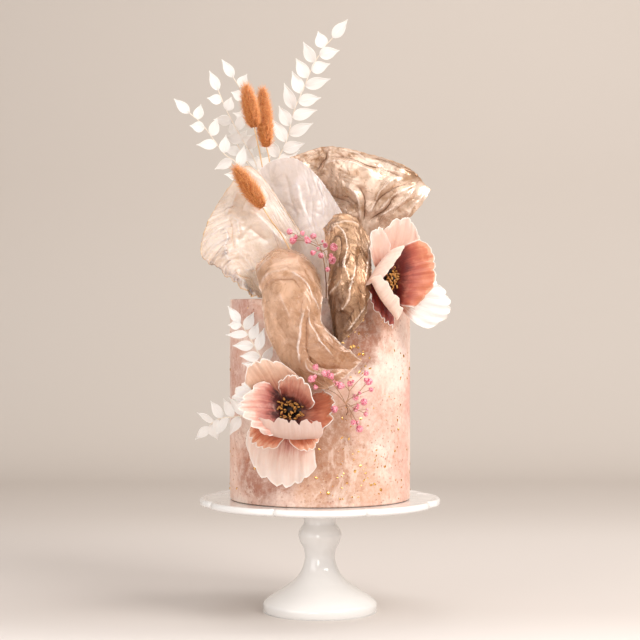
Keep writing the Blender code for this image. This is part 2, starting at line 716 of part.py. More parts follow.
def make_spray(spray):
    """Blossoms on thin stalks, joined at the end of their stem."""
    hub = np.array(spray.stem[-1], float)
    knots = np.array(spray.stem, float)
    stem = spline_weights(len(knots), len(knots) + 2) @ knots
    shapes = [tube(stem, [STEM_RADIUS * 0.7] * len(stem), 4)]
    shapes.append(ball(hub, HUB_RADIUS))
    for index, blossom in enumerate(spray.blossoms):
        end = np.array(blossom, float)
        radius = BLOSSOM_RADIUS * (0.85 + 0.2 * math.sin(2.3 * index))
        shapes.append(tube([hub, end], [STALK_RADIUS] * 2, 3))
        shapes.append(ball(end, radius, 0.85, end - hub))
    fuse(spray.name, shapes, "blossom")


def main():
    """Build every node of the cake."""
    clear_scene()
    make_stand()
    make_cake()
    make_sails()
    for poppy in POPPIES:
        make_poppy(poppy)
    for sprig in SPRIGS:
        make_sprig(sprig)
    for tail in TAILS:
        make_tail(tail)
    for spray in SPRAYS:
        make_spray(spray)


main()
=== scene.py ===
"""Looks of the marbled cake: porcelain, icing, paper sails, poppies, dried sprigs and metal leaf.

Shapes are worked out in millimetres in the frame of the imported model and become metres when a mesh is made.
Each sub-assembly is a class with its sizes as fields, and each finish is a frozen dataclass.
"""
from __future__ import annotations

import logging
import math
import random
from dataclasses import dataclass, field
from enum import Enum
from typing import Callable, Sequence

import bmesh
import bpy
import numpy as np
from bpy.types import Material, Node, Object
from bpy.types import NodeSocket as Socket
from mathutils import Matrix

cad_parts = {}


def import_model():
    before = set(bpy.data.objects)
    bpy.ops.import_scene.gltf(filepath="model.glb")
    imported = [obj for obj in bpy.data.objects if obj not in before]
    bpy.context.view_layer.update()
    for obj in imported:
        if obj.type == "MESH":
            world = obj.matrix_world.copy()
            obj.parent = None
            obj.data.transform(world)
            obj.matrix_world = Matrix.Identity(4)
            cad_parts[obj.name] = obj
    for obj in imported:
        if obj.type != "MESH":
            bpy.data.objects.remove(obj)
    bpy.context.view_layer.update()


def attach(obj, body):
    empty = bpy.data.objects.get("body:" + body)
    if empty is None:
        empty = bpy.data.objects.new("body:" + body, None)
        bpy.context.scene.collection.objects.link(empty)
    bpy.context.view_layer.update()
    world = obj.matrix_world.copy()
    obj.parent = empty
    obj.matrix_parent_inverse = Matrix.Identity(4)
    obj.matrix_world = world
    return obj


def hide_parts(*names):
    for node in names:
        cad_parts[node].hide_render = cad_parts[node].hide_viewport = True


LOG = logging.getLogger("cake")
MM = 0.001
BODY = "root"

Array = np.ndarray
Point = tuple[float, float, float]
Colour = tuple[float, float, float]
Share = Callable[[Array, Array], Array]
Ring = Callable[[Array, float, float], tuple]

CAKE_RADIUS = 76.0
CAKE_BOTTOM = 95.3
CAKE_TOP = 262.7
ROOT_HEIGHT = CAKE_TOP + 0.9
STEM_FOOT = CAKE_TOP + 0.8

MIX_INPUTS, MIX_RESULT = (0, 6, 7), 2
GOLDEN_SHARE = 0.618
LATTICE = 256
AXIS_RADIUS = 1e-6
TOWARDS_VIEWER = (0.0, -1.0, 0.0)
STAND_CREASE, TIER_CREASE, SHEET_CREASE, BUD_CREASE, SEED_CREASE = 50.0, 70.0, 75.0, 70.0, 60.0


class Hand(Enum):
    """A side of a stem, seen from the front."""

    LEFT = -1
    RIGHT = 1


def unit(vector: Sequence[float]) -> Array:
    """Return the vector at length one."""
    vector = np.asarray(vector, float)
    return vector / np.linalg.norm(vector)


def smoothstep(value: Array, low: float, high: float) -> Array:
    """Ease from 0 at low to 1 at high."""
    share = np.clip((np.asarray(value, float) - low) / (high - low), 0.0, 1.0)
    return share * share * (3.0 - 2.0 * share)


def noise(x: Array, y: Array, seed: int) -> Array:
    """Smooth value noise between -1 and 1.

    Args:
        x: First coordinate, one lattice cell to the unit.
        y: Second coordinate.
        seed: Picks the lattice.

    Returns:
        The noise at each point.
    """
    table = np.random.default_rng(seed).uniform(-1.0, 1.0, (LATTICE, LATTICE))
    x, y = np.broadcast_arrays(np.asarray(x, float), np.asarray(y, float))
    column, row = np.floor(x).astype(int), np.floor(y).astype(int)
    across, along = x - column, y - row
    across = across * across * (3.0 - 2.0 * across)
    along = along * along * (3.0 - 2.0 * along)
    corner = table[column % LATTICE, row % LATTICE]
    right = table[(column + 1) % LATTICE, row % LATTICE]
    upper = table[column % LATTICE, (row + 1) % LATTICE]
    both = table[(column + 1) % LATTICE, (row + 1) % LATTICE]
    low = corner + (right - corner) * across
    high = upper + (both - upper) * across
    return low + (high - low) * along


def crumple(x: Array, y: Array, size: float, seed: int, octaves: int = 3) -> Array:
    """Creased relief, as of paper that was crushed and opened again.

    Args:
        x: First coordinate in millimetres.
        y: Second coordinate in millimetres.
        size: Width of the largest facets in millimetres.
        seed: Picks the pattern.
        octaves: Number of ever finer layers.

    Returns:
        Heights of about -1 to 1.
    """
    total, strength, reach = 0.0, 1.0, 0.0
    warp_x = x + 0.6 * size * noise(x / size, y / size, seed + 90)
    warp_y = y + 0.6 * size * noise(x / size + 31.0, y / size, seed + 91)
    for octave in range(octaves):
        scale = size / 2.1 ** octave
        total = total + strength * (1.0 - 2.6 * np.abs(noise(warp_x / scale, warp_y / scale, seed + octave)))
        reach += strength
        strength *= 0.5
    return total / reach


def spline_weights(knots: int, samples: int) -> Array:
    """Weights that turn control values into samples on a smooth curve through all of them.

    Args:
        knots: Number of control values.
        samples: Number of samples.

    Returns:
        One row of weights for each sample.
    """
    weights = np.zeros((samples, knots))
    padded = np.zeros((knots + 2, knots))
    padded[1:-1] = np.eye(knots)
    padded[0] = 2 * padded[1] - padded[2]
    padded[-1] = 2 * padded[-2] - padded[-3]
    for index, place in enumerate(np.linspace(0, knots - 1, samples)):
        start = min(int(place), knots - 2)
        t = place - start
        before, here, after, beyond = padded[start:start + 4]
        weights[index] = 0.5 * (
            2 * here + (after - before) * t + (2 * before - 5 * here + 4 * after - beyond) * t ** 2
            + (3 * here - before - 3 * after + beyond) * t ** 3)
    return weights


def lattice(counts: tuple[int, int], left: float = -1.0) -> tuple[Array, Array]:
    """Parameters of a grid: u from 0 to 1 along it and v from left to 1 across it."""
    u, v = np.meshgrid(np.linspace(0, 1, counts[0]), np.linspace(left, 1, counts[1]), indexing="ij")
    return u, v


def grid_normals(grid: Array) -> Array:
    """Unit normals of a grid of points."""
    across = np.cross(np.gradient(grid, axis=0), np.gradient(grid, axis=1))
    return across / np.maximum(np.linalg.norm(across, axis=2, keepdims=True), 1e-9)


def add_piece(
    name: str,
    points: Array,
    faces: Sequence[Sequence[int]],
    uv: Array | None = None,
    values: dict[str, Array] | None = None,
    sharp: float = 180.0,
) -> Object:
    """Make a mesh object from points in millimetres, with its faces turned outwards.

    Args:
        name: The piece's name.
        points: One row for each vertex.
        faces: Vertex indices of each face.
        uv: One (u, v) for each vertex.
        values: Named number for each vertex, read by the finishes as attributes.
        sharp: Edges over this angle in degrees stay sharp.

    Returns:
        The new object.
    """
    mesh = bpy.data.meshes.new(name)
    mesh.from_pydata((np.asarray(points, float) * MM).tolist(), [], faces)
    for key, numbers in (values or {}).items():
        layer = mesh.attributes.new(key, "FLOAT", "POINT")
        layer.data.foreach_set("value", np.asarray(numbers, float))
    if uv is not None:
        corners = np.zeros(len(mesh.loops), int)
        mesh.loops.foreach_get("vertex_index", corners)
        layer = mesh.uv_layers.new(name="UVMap")
        layer.data.foreach_set("uv", np.asarray(uv, float)[corners].ravel())
    work = bmesh.new()
    work.from_mesh(mesh)
    bmesh.ops.recalc_face_normals(work, faces=work.faces)
    work.to_mesh(mesh)
    work.free()
    mesh.shade_smooth()
    if sharp < 180.0:
        mesh.set_sharp_from_angle(angle=math.radians(sharp))
    piece = bpy.data.objects.new(name, mesh)
    bpy.context.scene.collection.objects.link(piece)
    return piece


def sheet_shape(grid: Array, thickness: float) -> tuple[Array, list, Array]:
    """Thicken a grid of points into a closed sheet.

    Args:
        grid: Points by row from root to edge and by column across.
        thickness: Thickness in millimetres.

    Returns:
        The points, the faces and the UVs; the first half of the points lies on the inner face.
    """
    count_u, count_v = grid.shape[:2]
    offset = grid_normals(grid) * (thickness / 2)
    points = np.concatenate([(grid + offset).reshape(-1, 3), (grid - offset).reshape(-1, 3)])
    below = count_u * count_v
    index = np.arange(below).reshape(count_u, count_v)
    upper = np.stack([index[:-1, :-1], index[:-1, 1:], index[1:, 1:], index[1:, :-1]], axis=2).reshape(-1, 4)
    border = np.concatenate([index[0, :], index[1:, -1], index[-1, -2::-1], index[-2:0:-1, 0]])
    following = np.roll(border, -1)
    rim = np.stack([following, border, border + below, following + below], axis=1)
    u, v = lattice((count_u, count_v), 0.0)
    uv = np.tile(np.stack([v.ravel(), u.ravel()], axis=1), (2, 1))
    return points, np.concatenate([upper, upper[:, ::-1] + below, rim]).tolist(), uv


def sheet(name: str, grid: Array, thickness: float, values: dict[str, Array]) -> Object:
    """Make a closed sheet whose `inner` attribute is 1 on its inner face.

    Args:
        name: The piece's name.
        grid: Points by row from root to edge and by column across.
        thickness: Thickness in millimetres.
        values: Named numbers on the grid.

    Returns:
        The new object.
    """
    points, faces, uv = sheet_shape(grid, thickness)
    attributes = {key: np.tile(numbers.ravel(), 2) for key, numbers in values.items()}
    attributes["inner"] = np.repeat((1.0, 0.0), len(points) // 2)
    return add_piece(name, points, faces, uv, attributes, SHEET_CREASE)


def turned(name: str, profile: Array, segments: int, ring: Ring, sharp: float) -> Object:
    """Turn a profile round the upright axis.

    Args:
        name: The piece's name.
        profile: Radius and height of each ring, from the bottom's middle to the top's middle.
        segments: Number of points round it.
        ring: Gives a ring's radii and heights from its angles, radius and height.
        sharp: Edges over this angle in degrees stay sharp.

    Returns:
        The new object.
    """
    angles = math.tau * np.arange(segments) / segments
    points, rings = [], []
    for radius, height in profile:
        if radius < AXIS_RADIUS:
            rings.append(np.full(segments, len(points)))
            points.append((0.0, 0.0, height))
            continue
        reach, level = np.broadcast_arrays(*ring(angles, radius, height))
        rings.append(np.arange(len(points), len(points) + segments))
        points += np.stack([reach * np.cos(angles), reach * np.sin(angles), level], axis=1).tolist()
    faces = []
    for lower, upper in zip(rings, rings[1:]):
        corners = np.stack([lower, np.roll(lower, -1), np.roll(upper, -1), upper], axis=1).tolist()
        faces += [tuple(dict.fromkeys(corner)) for corner in corners]
    return add_piece(name, np.array(points), faces, sharp=sharp)


def tube_shape(route: Array, radii: Sequence[float], sides: int) -> tuple[Array, list]:
    """Sweep a round section of changing radius along a route, with closed ends.

    Args:
        route: Points of the middle line.
        radii: Radius at each point.
        sides: Number of sides of the section.

    Returns:
        The points and the faces.
    """
    route = np.asarray(route, float)
    tangents = np.gradient(route, axis=0)
    upright = unit(np.cross(tangents[0], (0.3, 1.0, 0.2)))
    turns = math.tau * np.arange(sides) / sides
    points = []
    for place, tangent, radius in zip(route, tangents, radii):
        tangent = unit(tangent)
        upright = unit(upright - tangent * np.dot(upright, tangent))
        beside = np.cross(tangent, upright)
        points.append(place + radius * (np.outer(np.cos(turns), upright) + np.outer(np.sin(turns), beside)))
    faces = []
    for ring in range(len(route) - 1):
        for side in range(sides):
            a, b = ring * sides + side, ring * sides + (side + 1) % sides
            faces.append((a, b, b + sides, a + sides))
    last = (len(route) - 1) * sides
    faces.append(tuple(range(sides)))
    faces.append(tuple(range(last + sides - 1, last - 1, -1)))
    return np.concatenate(points), faces


@dataclass(frozen=True)
class Course:
    """A smooth line through control points, read by the distance along it."""

    points: Array
    travelled: Array

    @classmethod
    def through(cls, knots: Sequence[Point], samples: int = 400) -> Course:
        """Lay the line.

        Args:
            knots: Its control points.
            samples: Number of points that it keeps.

        Returns:
            The line.
        """
        points = spline_weights(len(knots), samples) @ np.array(knots, float)
        steps = np.linalg.norm(np.diff(points, axis=0), axis=1)
        return cls(points, np.concatenate([[0.0], np.cumsum(steps)]))

    @property
    def length(self) -> float:
        """The whole length in millimetres."""
        return self.travelled[-1]

    def at(self, distance: float) -> Array:
        """The point at a distance from the start."""
        return np.array([np.interp(distance, self.travelled, self.points[:, axis]) for axis in range(3)])

    def heading(self, distance: float, reach: float = 2.0) -> Array:
        """The direction of the line at a distance from the start."""
        return unit(self.at(min(distance + reach, self.length)) - self.at(max(distance - reach, 0.0)))


@dataclass
class Batch:
    """Gathers many small shapes into one mesh."""

    points: list = field(default_factory=list)
    faces: list = field(default_factory=list)
    uv: list = field(default_factory=list)
    count: int = 0

    def add(self, points: Array, faces: list, uv: Array | None = None) -> None:
        """Add one shape.

        Args:
            points: Its points.
            faces: Its faces, by its own indices.
            uv: One (u, v) for each point.
        """
        self.points.append(points)
        self.faces += [tuple(index + self.count for index in face) for face in faces]
        self.uv.append(np.zeros((len(points), 2)) if uv is None else uv)
        self.count += len(points)

    def piece(self, name: str, sharp: float = 180.0) -> Object:
        """Make one object of all the shapes."""
        return add_piece(name, np.concatenate(self.points), self.faces, np.concatenate(self.uv), sharp=sharp)


class Wiring:
    """Adds nodes to a tree and joins them."""

    tree: bpy.types.NodeTree

    def node(self, kind: str, **settings: object) -> Node:
        """Add a node.

        Args:
            kind: Its type.
            settings: Its properties.

        Returns:
            The node.
        """
        made = self.tree.nodes.new(kind)
        for key, value in settings.items():
            setattr(made, key, value)
        return made

    def plug(self, socket: Socket, value: object) -> None:
        """Feed an input.

        Args:
            socket: The input.
            value: An output to link to it, or its own value.
        """
        if isinstance(value, Socket):
            self.tree.links.new(value, socket)
        elif isinstance(value, tuple) and len(value) == 3 and socket.type == "RGBA":
            socket.default_value = (*value, 1.0)
        else:
            socket.default_value = value

    def math(self, operation: str, first: object, second: object = 0.0) -> Socket:
        """One step of arithmetic.

        Args:
            operation: Its name.
            first: A number or an output.
            second: The other one.

        Returns:
            The result.
        """
        made = self.node("ShaderNodeMath", operation=operation)
        self.plug(made.inputs[0], first)
        self.plug(made.inputs[1], second)
        return made.outputs[0]


class Shader(Wiring):
    """A material under construction, with short methods for the nodes that the finishes share."""

    def __init__(self, name: str) -> None:
        """Start the material with its Principled shader.

        Args:
            name: Its name.
        """
        self.material = bpy.data.materials.new(name)
        self.material.use_nodes = True
        self.tree = self.material.node_tree
        self.surface = self.tree.nodes["Principled BSDF"]

    def set(self, **values: object) -> None:
        """Set inputs of the Principled shader, named with underscores for spaces."""
        for key, value in values.items():
            self.plug(self.surface.inputs[key.replace("_", " ")], value)

    def place(self) -> Socket:
        """Object coordinates, in metres."""
        return self.node("ShaderNodeTexCoord").outputs["Object"]

    def uv(self) -> Socket:
        """The piece's own UV map."""
        return self.node("ShaderNodeTexCoord").outputs["UV"]

    def attribute(self, name: str) -> Socket:
        """A named number on the mesh."""
        return self.node("ShaderNodeAttribute", attribute_name=name).outputs["Fac"]

    def scaled(self, vector: Socket, scale: Point, shift: Point = (0, 0, 0)) -> Socket:
        """Stretch and move a vector.

        Args:
            vector: The vector.
            scale: How much each of its parts is stretched.
            shift: What is added to each part.

        Returns:
            The new vector.
        """
        mapping = self.node("ShaderNodeMapping")
        self.plug(mapping.inputs["Vector"], vector)
        mapping.inputs["Scale"].default_value = scale
        mapping.inputs["Location"].default_value = shift
        return mapping.outputs["Vector"]

    def clouds(self, vector: Socket, scale: float, detail: float = 4.0,
               roughness: float = 0.55, distortion: float = 0.0) -> Socket:
        """Noise between 0 and 1.

        Args:
            vector: Where it is read.
            scale: Size of the pattern; more is finer.
            detail: Number of finer layers.
            roughness: Strength of the finer layers.
            distortion: How far the pattern is swirled.

        Returns:
            The noise.
        """
        made = self.node("ShaderNodeTexNoise")
        self.plug(made.inputs["Vector"], vector)
        for key, value in (("Scale", scale), ("Detail", detail), ("Roughness", roughness),
                           ("Distortion", distortion)):
            made.inputs[key].default_value = value
        return made.outputs["Fac"]

    def cells(self, vector: Socket, scale: float) -> Socket:
        """Distance to the nearest of many scattered points.

        Args:
            vector: Where it is read.
            scale: How close the points lie; more is closer.

        Returns:
            The distance.
        """
        made = self.node("ShaderNodeTexVoronoi")
        self.plug(made.inputs["Vector"], vector)
        made.inputs["Scale"].default_value = scale
        return made.outputs["Distance"]

    def axis(self, vector: Socket, name: str) -> Socket:
        """One part of a vector.

        Args:
            vector: The vector.
            name: X, Y or Z.

        Returns:
            The part.
        """
        made = self.node("ShaderNodeSeparateXYZ")
        self.plug(made.inputs[0], vector)
        return made.outputs[name]

    def fit(self, value: object, low: float, high: float, to_low: float = 0.0,
            to_high: float = 1.0) -> Socket:
        """Map a range smoothly onto another, held at its ends.

        Args:
            value: The number.
            low: Start of its range.
            high: End of its range.
            to_low: Result at the start.
            to_high: Result at the end.

        Returns:
            The mapped number.
        """
        made = self.node("ShaderNodeMapRange", interpolation_type="SMOOTHSTEP")
        for key, number in (("Value", value), ("From Min", low), ("From Max", high),
                            ("To Min", to_low), ("To Max", to_high)):
            self.plug(made.inputs[key], number)
        return made.outputs["Result"]

    def ramp(self, value: Socket, stops: Sequence[tuple[float, Colour]]) -> Socket:
        """Colours along a value from 0 to 1.

        Args:
            value: The number.
            stops: Places and their colours.

        Returns:
            The colour.
        """
        made = self.node("ShaderNodeValToRGB")
        line = made.color_ramp
        while len(line.elements) < len(stops):
            line.elements.new(0.5)
        for element, (place, colour) in zip(line.elements, stops):
            element.position = place
            element.color = (*colour, 1.0)
        self.plug(made.inputs["Fac"], value)
        return made.outputs["Color"]

    def mix(self, share: object, first: object, second: object) -> Socket:
        """Blend two colours.

        Args:
            share: How much of the second one shows.
            first: A colour or an output.
            second: The other one.

        Returns:
            The blend.
        """
        made = self.node("ShaderNodeMix", data_type="RGBA")
        for index, value in zip(MIX_INPUTS, (share, first, second)):
            self.plug(made.inputs[index], value)
        return made.outputs[MIX_RESULT]

    def glow(self, weight: float, radius: Point) -> None:
        """Let light through the surface: its share, and how far each colour goes, in metres."""
        self.set(Subsurface_Weight=weight, Subsurface_Radius=radius, Subsurface_Scale=1.0)

    def bump(self, height: Socket, distance: float, strength: float = 1.0) -> None:
        """Roughen the surface.

        Args:
            height: The relief, from 0 to 1.
            distance: Its depth in metres.
            strength: Its share.
        """
        made = self.node("ShaderNodeBump")
        self.plug(made.inputs["Height"], height)
        made.inputs["Distance"].default_value = distance
        made.inputs["Strength"].default_value = strength
        self.tree.links.new(made.outputs["Normal"], self.surface.inputs["Normal"])


@dataclass(frozen=True)
class Porcelain:
    """Glazed white porcelain, with the faint waviness of a dipped glaze."""

    body: Colour = (0.83, 0.81, 0.79)
    shade: Colour = (0.76, 0.73, 0.70)

    def build(self) -> Material:
        """Make the material."""
        shader = Shader("porcelain_glaze")
        place = shader.place()
        shader.set(Base_Color=shader.mix(shader.clouds(place, 14.0, 3.0), self.body, self.shade))
        shader.set(Roughness=shader.fit(shader.clouds(place, 60.0, 3.0), 0.3, 0.7, 0.10, 0.17))
        shader.set(Coat_Weight=0.6, Coat_Roughness=0.06, IOR=1.5)
        shader.bump(shader.clouds(place, 38.0, 2.0), 0.0004, 0.35)
        return shader.material


@dataclass(frozen=True)
class StainOrPaintedLight:
    """A soft patch of colour on the icing, placed by angle from +X and by height: mostly a watercolour blot,
    in three places painted shade and in one a painted highlight.
    """

    angle: float
    height: float
    radius: float
    colour: Colour
    strength: float = 0.8
    flatness: float = 1.0


@dataclass(frozen=True)
class Icing:
    """Watercolour icing: a blush ground with watercolour blots that bleed into one another, and fine specks;
    a few of the patches are painted shade below the bronze drape and one is a painted highlight on the front
    right.
    """

    ground: Colour = (0.72, 0.44, 0.34)
    pale: Colour = (0.84, 0.66, 0.57)
    peach: Colour = (0.68, 0.37, 0.25)
    cream: Colour = (0.88, 0.72, 0.62)
    rust: Colour = (0.50, 0.22, 0.13)
    speck: Colour = (0.30, 0.10, 0.06)
    wander: float = 0.05
    stains_and_painted_light: tuple[StainOrPaintedLight, ...] = (
        StainOrPaintedLight(-128, 125, 40, (0.32, 0.10, 0.05), 0.9),
        StainOrPaintedLight(-160, 200, 42, (0.50, 0.23, 0.17), 0.75),
        StainOrPaintedLight(-150, 255, 30, (0.42, 0.16, 0.12), 0.7),
        StainOrPaintedLight(-95, 112, 24, (0.56, 0.30, 0.18), 0.75),
        StainOrPaintedLight(-80, 140, 34, (0.38, 0.17, 0.085), 0.9, 0.55),
        StainOrPaintedLight(-90, 200, 40, (0.66, 0.40, 0.28), 0.6),
        StainOrPaintedLight(-54, 170, 32, (0.60, 0.37, 0.29), 0.85),
        StainOrPaintedLight(-62, 118, 24, (0.60, 0.36, 0.25), 0.8),
        # Painted highlight: a pale patch where the light falls on the front right of the icing.
        StainOrPaintedLight(-28, 205, 15, (0.84, 0.66, 0.58), 0.7, 0.6),
        # Painted shade: these three dark patches stand for the shade below the bronze drape.
        StainOrPaintedLight(-65, 232, 29, (0.22, 0.07, 0.026), 0.97, 0.75),
        StainOrPaintedLight(-46, 246, 20, (0.46, 0.20, 0.11), 0.85),
        StainOrPaintedLight(-56, 228, 15, (0.38, 0.16, 0.10), 0.7, 0.8),
        StainOrPaintedLight(-28, 135, 28, (0.68, 0.34, 0.26), 0.7),
        StainOrPaintedLight(-8, 180, 32, (0.66, 0.30, 0.24), 0.8),
        StainOrPaintedLight(-20, 108, 22, (0.66, 0.32, 0.23), 0.65),
        StainOrPaintedLight(-46, 104, 16, (0.62, 0.34, 0.23), 0.65),
        StainOrPaintedLight(30, 140, 40, (0.60, 0.30, 0.22), 0.7),
        StainOrPaintedLight(80, 220, 46, (0.86, 0.68, 0.59), 0.8),
        StainOrPaintedLight(120, 130, 44, (0.58, 0.27, 0.19), 0.7),
        StainOrPaintedLight(165, 230, 40, (0.84, 0.65, 0.55), 0.8),
        StainOrPaintedLight(170, 120, 34, (0.68, 0.37, 0.25), 0.7),
    )

    def build(self) -> Material:
        """Make the material."""
        shader = Shader("watercolour_icing")
        place = shader.place()
        broad = shader.clouds(place, 17.0, 6.0, 0.62, 1.1)
        colour = shader.mix(shader.fit(broad, 0.38, 0.66), self.ground, self.pale)
        veins = shader.clouds(shader.scaled(place, (1.0, 1.0, 0.6), (0.4, 0.1, 0.0)), 27.0, 8.0, 0.7, 1.8)
        colour = shader.mix(shader.fit(veins, 0.52, 0.74, 0.0, 0.75), colour, self.peach)
        edge = shader.clouds(shader.scaled(place, (1, 1, 1), (0.2, 0.7, 0.3)), 42.0, 9.0, 0.68, 0.6)
        wander = shader.clouds(place, 30.0, 6.0, 0.7).node
        shift = shader.node("ShaderNodeVectorMath", operation="MULTIPLY_ADD")
        shader.plug(shift.inputs[0], wander.outputs["Color"])
        shift.inputs[1].default_value = (self.wander,) * 3
        shader.plug(shift.inputs[2], place)
        for patch in self.stains_and_painted_light:
            colour = self.lay_patch(shader, colour, shift.outputs[0], edge, patch)
        flow = shader.clouds(shader.scaled(place, (1.0, 1.0, 0.8), (0.1, 0.5, 0.9)), 30.0, 9.0, 0.70, 2.6)
        colour = shader.mix(shader.fit(flow, 0.50, 0.64, 0.0, 0.42), colour, self.cream)
        rust = shader.clouds(shader.scaled(place, (1.0, 1.0, 0.7), (0.7, 0.3, 0.2)), 44.0, 9.0, 0.74, 1.8)
        lower = shader.fit(shader.axis(place, "Z"), 0.23, 0.12, 0.25, 0.75)
        colour = shader.mix(shader.math("MULTIPLY", shader.fit(rust, 0.53, 0.68), lower), colour, self.rust)
        fine = shader.clouds(place, 230.0, 7.0, 0.8)
        colour = shader.mix(shader.fit(fine, 0.40, 0.70, 0.0, 0.35), colour, self.cream)
        colour = shader.mix(shader.fit(fine, 0.50, 0.32, 0.0, 0.35), colour, self.rust)
        drops = shader.cells(place, 300.0)
        scatter = shader.clouds(shader.scaled(place, (1, 1, 1), (0.9, 0.2, 0.5)), 60.0, 3.0)
        dots = shader.fit(drops, 0.18, 0.30, 1.0, 0.0)
        specks = shader.math("MULTIPLY", dots, shader.fit(scatter, 0.46, 0.60))
        colour = shader.mix(shader.math("MULTIPLY", specks, 0.55), colour, self.speck)
        shader.set(Base_Color=colour)
        shader.set(Roughness=shader.fit(edge, 0.3, 0.7, 0.42, 0.62))
        shader.glow(0.08, (0.006, 0.003, 0.002))
        shader.set(Specular_IOR_Level=0.4)
        relief = shader.math("ADD", shader.math("MULTIPLY", fine, 0.25), shader.math("MULTIPLY", edge, 0.5))
        shader.bump(relief, 0.0007, 0.5)
        return shader.material

    def lay_patch(self, shader: Shader, colour: Socket, place: Socket,
                edge: Socket, patch: StainOrPaintedLight) -> Socket:
        """Lay one patch over the colour so far, its edge broken by noise; a few patches are painted shade,
        one a painted highlight.

        Args:
            shader: The material.
            colour: The colour so far.
            place: Where the patch is read, moved about by noise.
            edge: The noise that breaks its edge.
            patch: The patch.

        Returns:
            The colour with the patch.
        """
        angle = math.radians(patch.angle)
        centre = np.array((CAKE_RADIUS * math.cos(angle), CAKE_RADIUS * math.sin(angle), patch.height)) * MM
        centre = centre + self.wander / 2
        stretch = (1.0, 1.0, patch.flatness)
        local = shader.scaled(place, stretch, tuple(-centre * np.array(stretch)))
        length = shader.node("ShaderNodeVectorMath", operation="LENGTH")
        shader.plug(length.inputs[0], local)
        radius = patch.radius * MM
        broken = shader.math("MULTIPLY_ADD", edge, -radius * 0.9)
        broken.node.inputs[2].default_value = radius * 0.45
        reach = shader.math("ADD", length.outputs["Value"], broken)
        share = shader.fit(reach, radius * 0.35, radius * 1.05, patch.strength, 0.0)
        return shader.mix(share, colour, patch.colour)


@dataclass(frozen=True)
class Paper:
    """Wafer paper with a pearly or metallic wash, thin enough to let light through."""

    name: str
    light: Colour
    dark: Colour
    rim: Colour
    line: Colour
    metallic: float
    roughness: float
    opacity: float
    glow: float
    wrinkle: float

    def build(self) -> Material:
        """Make the material."""
        shader = Shader(self.name)
        place = shader.place()
        wash = shader.clouds(place, 34.0, 7.0, 0.66, 1.4)
        blotch = shader.clouds(shader.scaled(place, (1, 1, 1), (0.3, 0.8, 0.1)), 95.0, 5.0, 0.6, 0.8)
        share = shader.math("ADD", shader.math("MULTIPLY", wash, 0.62), shader.math("MULTIPLY", blotch, 0.38))
        colour = shader.mix(shader.fit(share, 0.36, 0.64), self.dark, self.light)
        broken = shader.fit(blotch, 0.3, 0.62, 0.55, 1.0)
        # Painted shade: the deep attribute darkens the inside of the bronze hood and the gold sail's shadowed
        # parts; on the other sails it is a darker tone.
        deep = shader.math("MULTIPLY", shader.attribute("deep"), shader.fit(wash, 0.3, 0.6, 1.0, 0.55))
        colour = shader.mix(deep, colour, shader.mix(0.35, self.line, self.dark))
        # Painted crease shade along the fold valleys, partly the paper's own pigment, and a painted highlight
        # along their crests.
        tint = shader.attribute("tint")
        colour = shader.mix(shader.math("MULTIPLY", shader.fit(tint, 0.0, 1.0), broken), colour, self.line)
        glint = tuple(0.35 + 0.65 * part for part in self.light)
        colour = shader.mix(shader.math("MULTIPLY", shader.fit(tint, 0.0, -1.0), broken), colour, glint)
        rim = shader.math("MULTIPLY", shader.attribute("rim"), shader.fit(wash, 0.3, 0.6, 0.45, 1.0))
        colour = shader.mix(rim, colour, self.rim)
        shader.set(Base_Color=colour)
        shader.set(Metallic=self.metallic)
        shader.set(Roughness=shader.fit(blotch, 0.3, 0.7, self.roughness - 0.1, self.roughness + 0.14))
        shader.glow(self.glow, (0.008, 0.005, 0.003))
        if self.opacity < 1.0:
            thin = shader.fit(wash, 0.35, 0.65, self.opacity - 0.08, min(1.0, self.opacity + 0.1))
            shader.set(Alpha=shader.math("MAXIMUM", thin, rim))
        shader.set(Coat_Weight=0.25, Coat_Roughness=0.25)
        grain = shader.clouds(place, 420.0, 5.0, 0.6, 0.4)
        wrinkle = shader.clouds(shader.scaled(place, (1, 1, 1), (0.6, 0.1, 0.9)), 70.0, 5.0, 0.55, 2.6)
        relief = shader.math("ADD", shader.math("MULTIPLY", grain, 0.06), wrinkle)
        shader.bump(relief, 0.0016, self.wrinkle)
        return shader.material


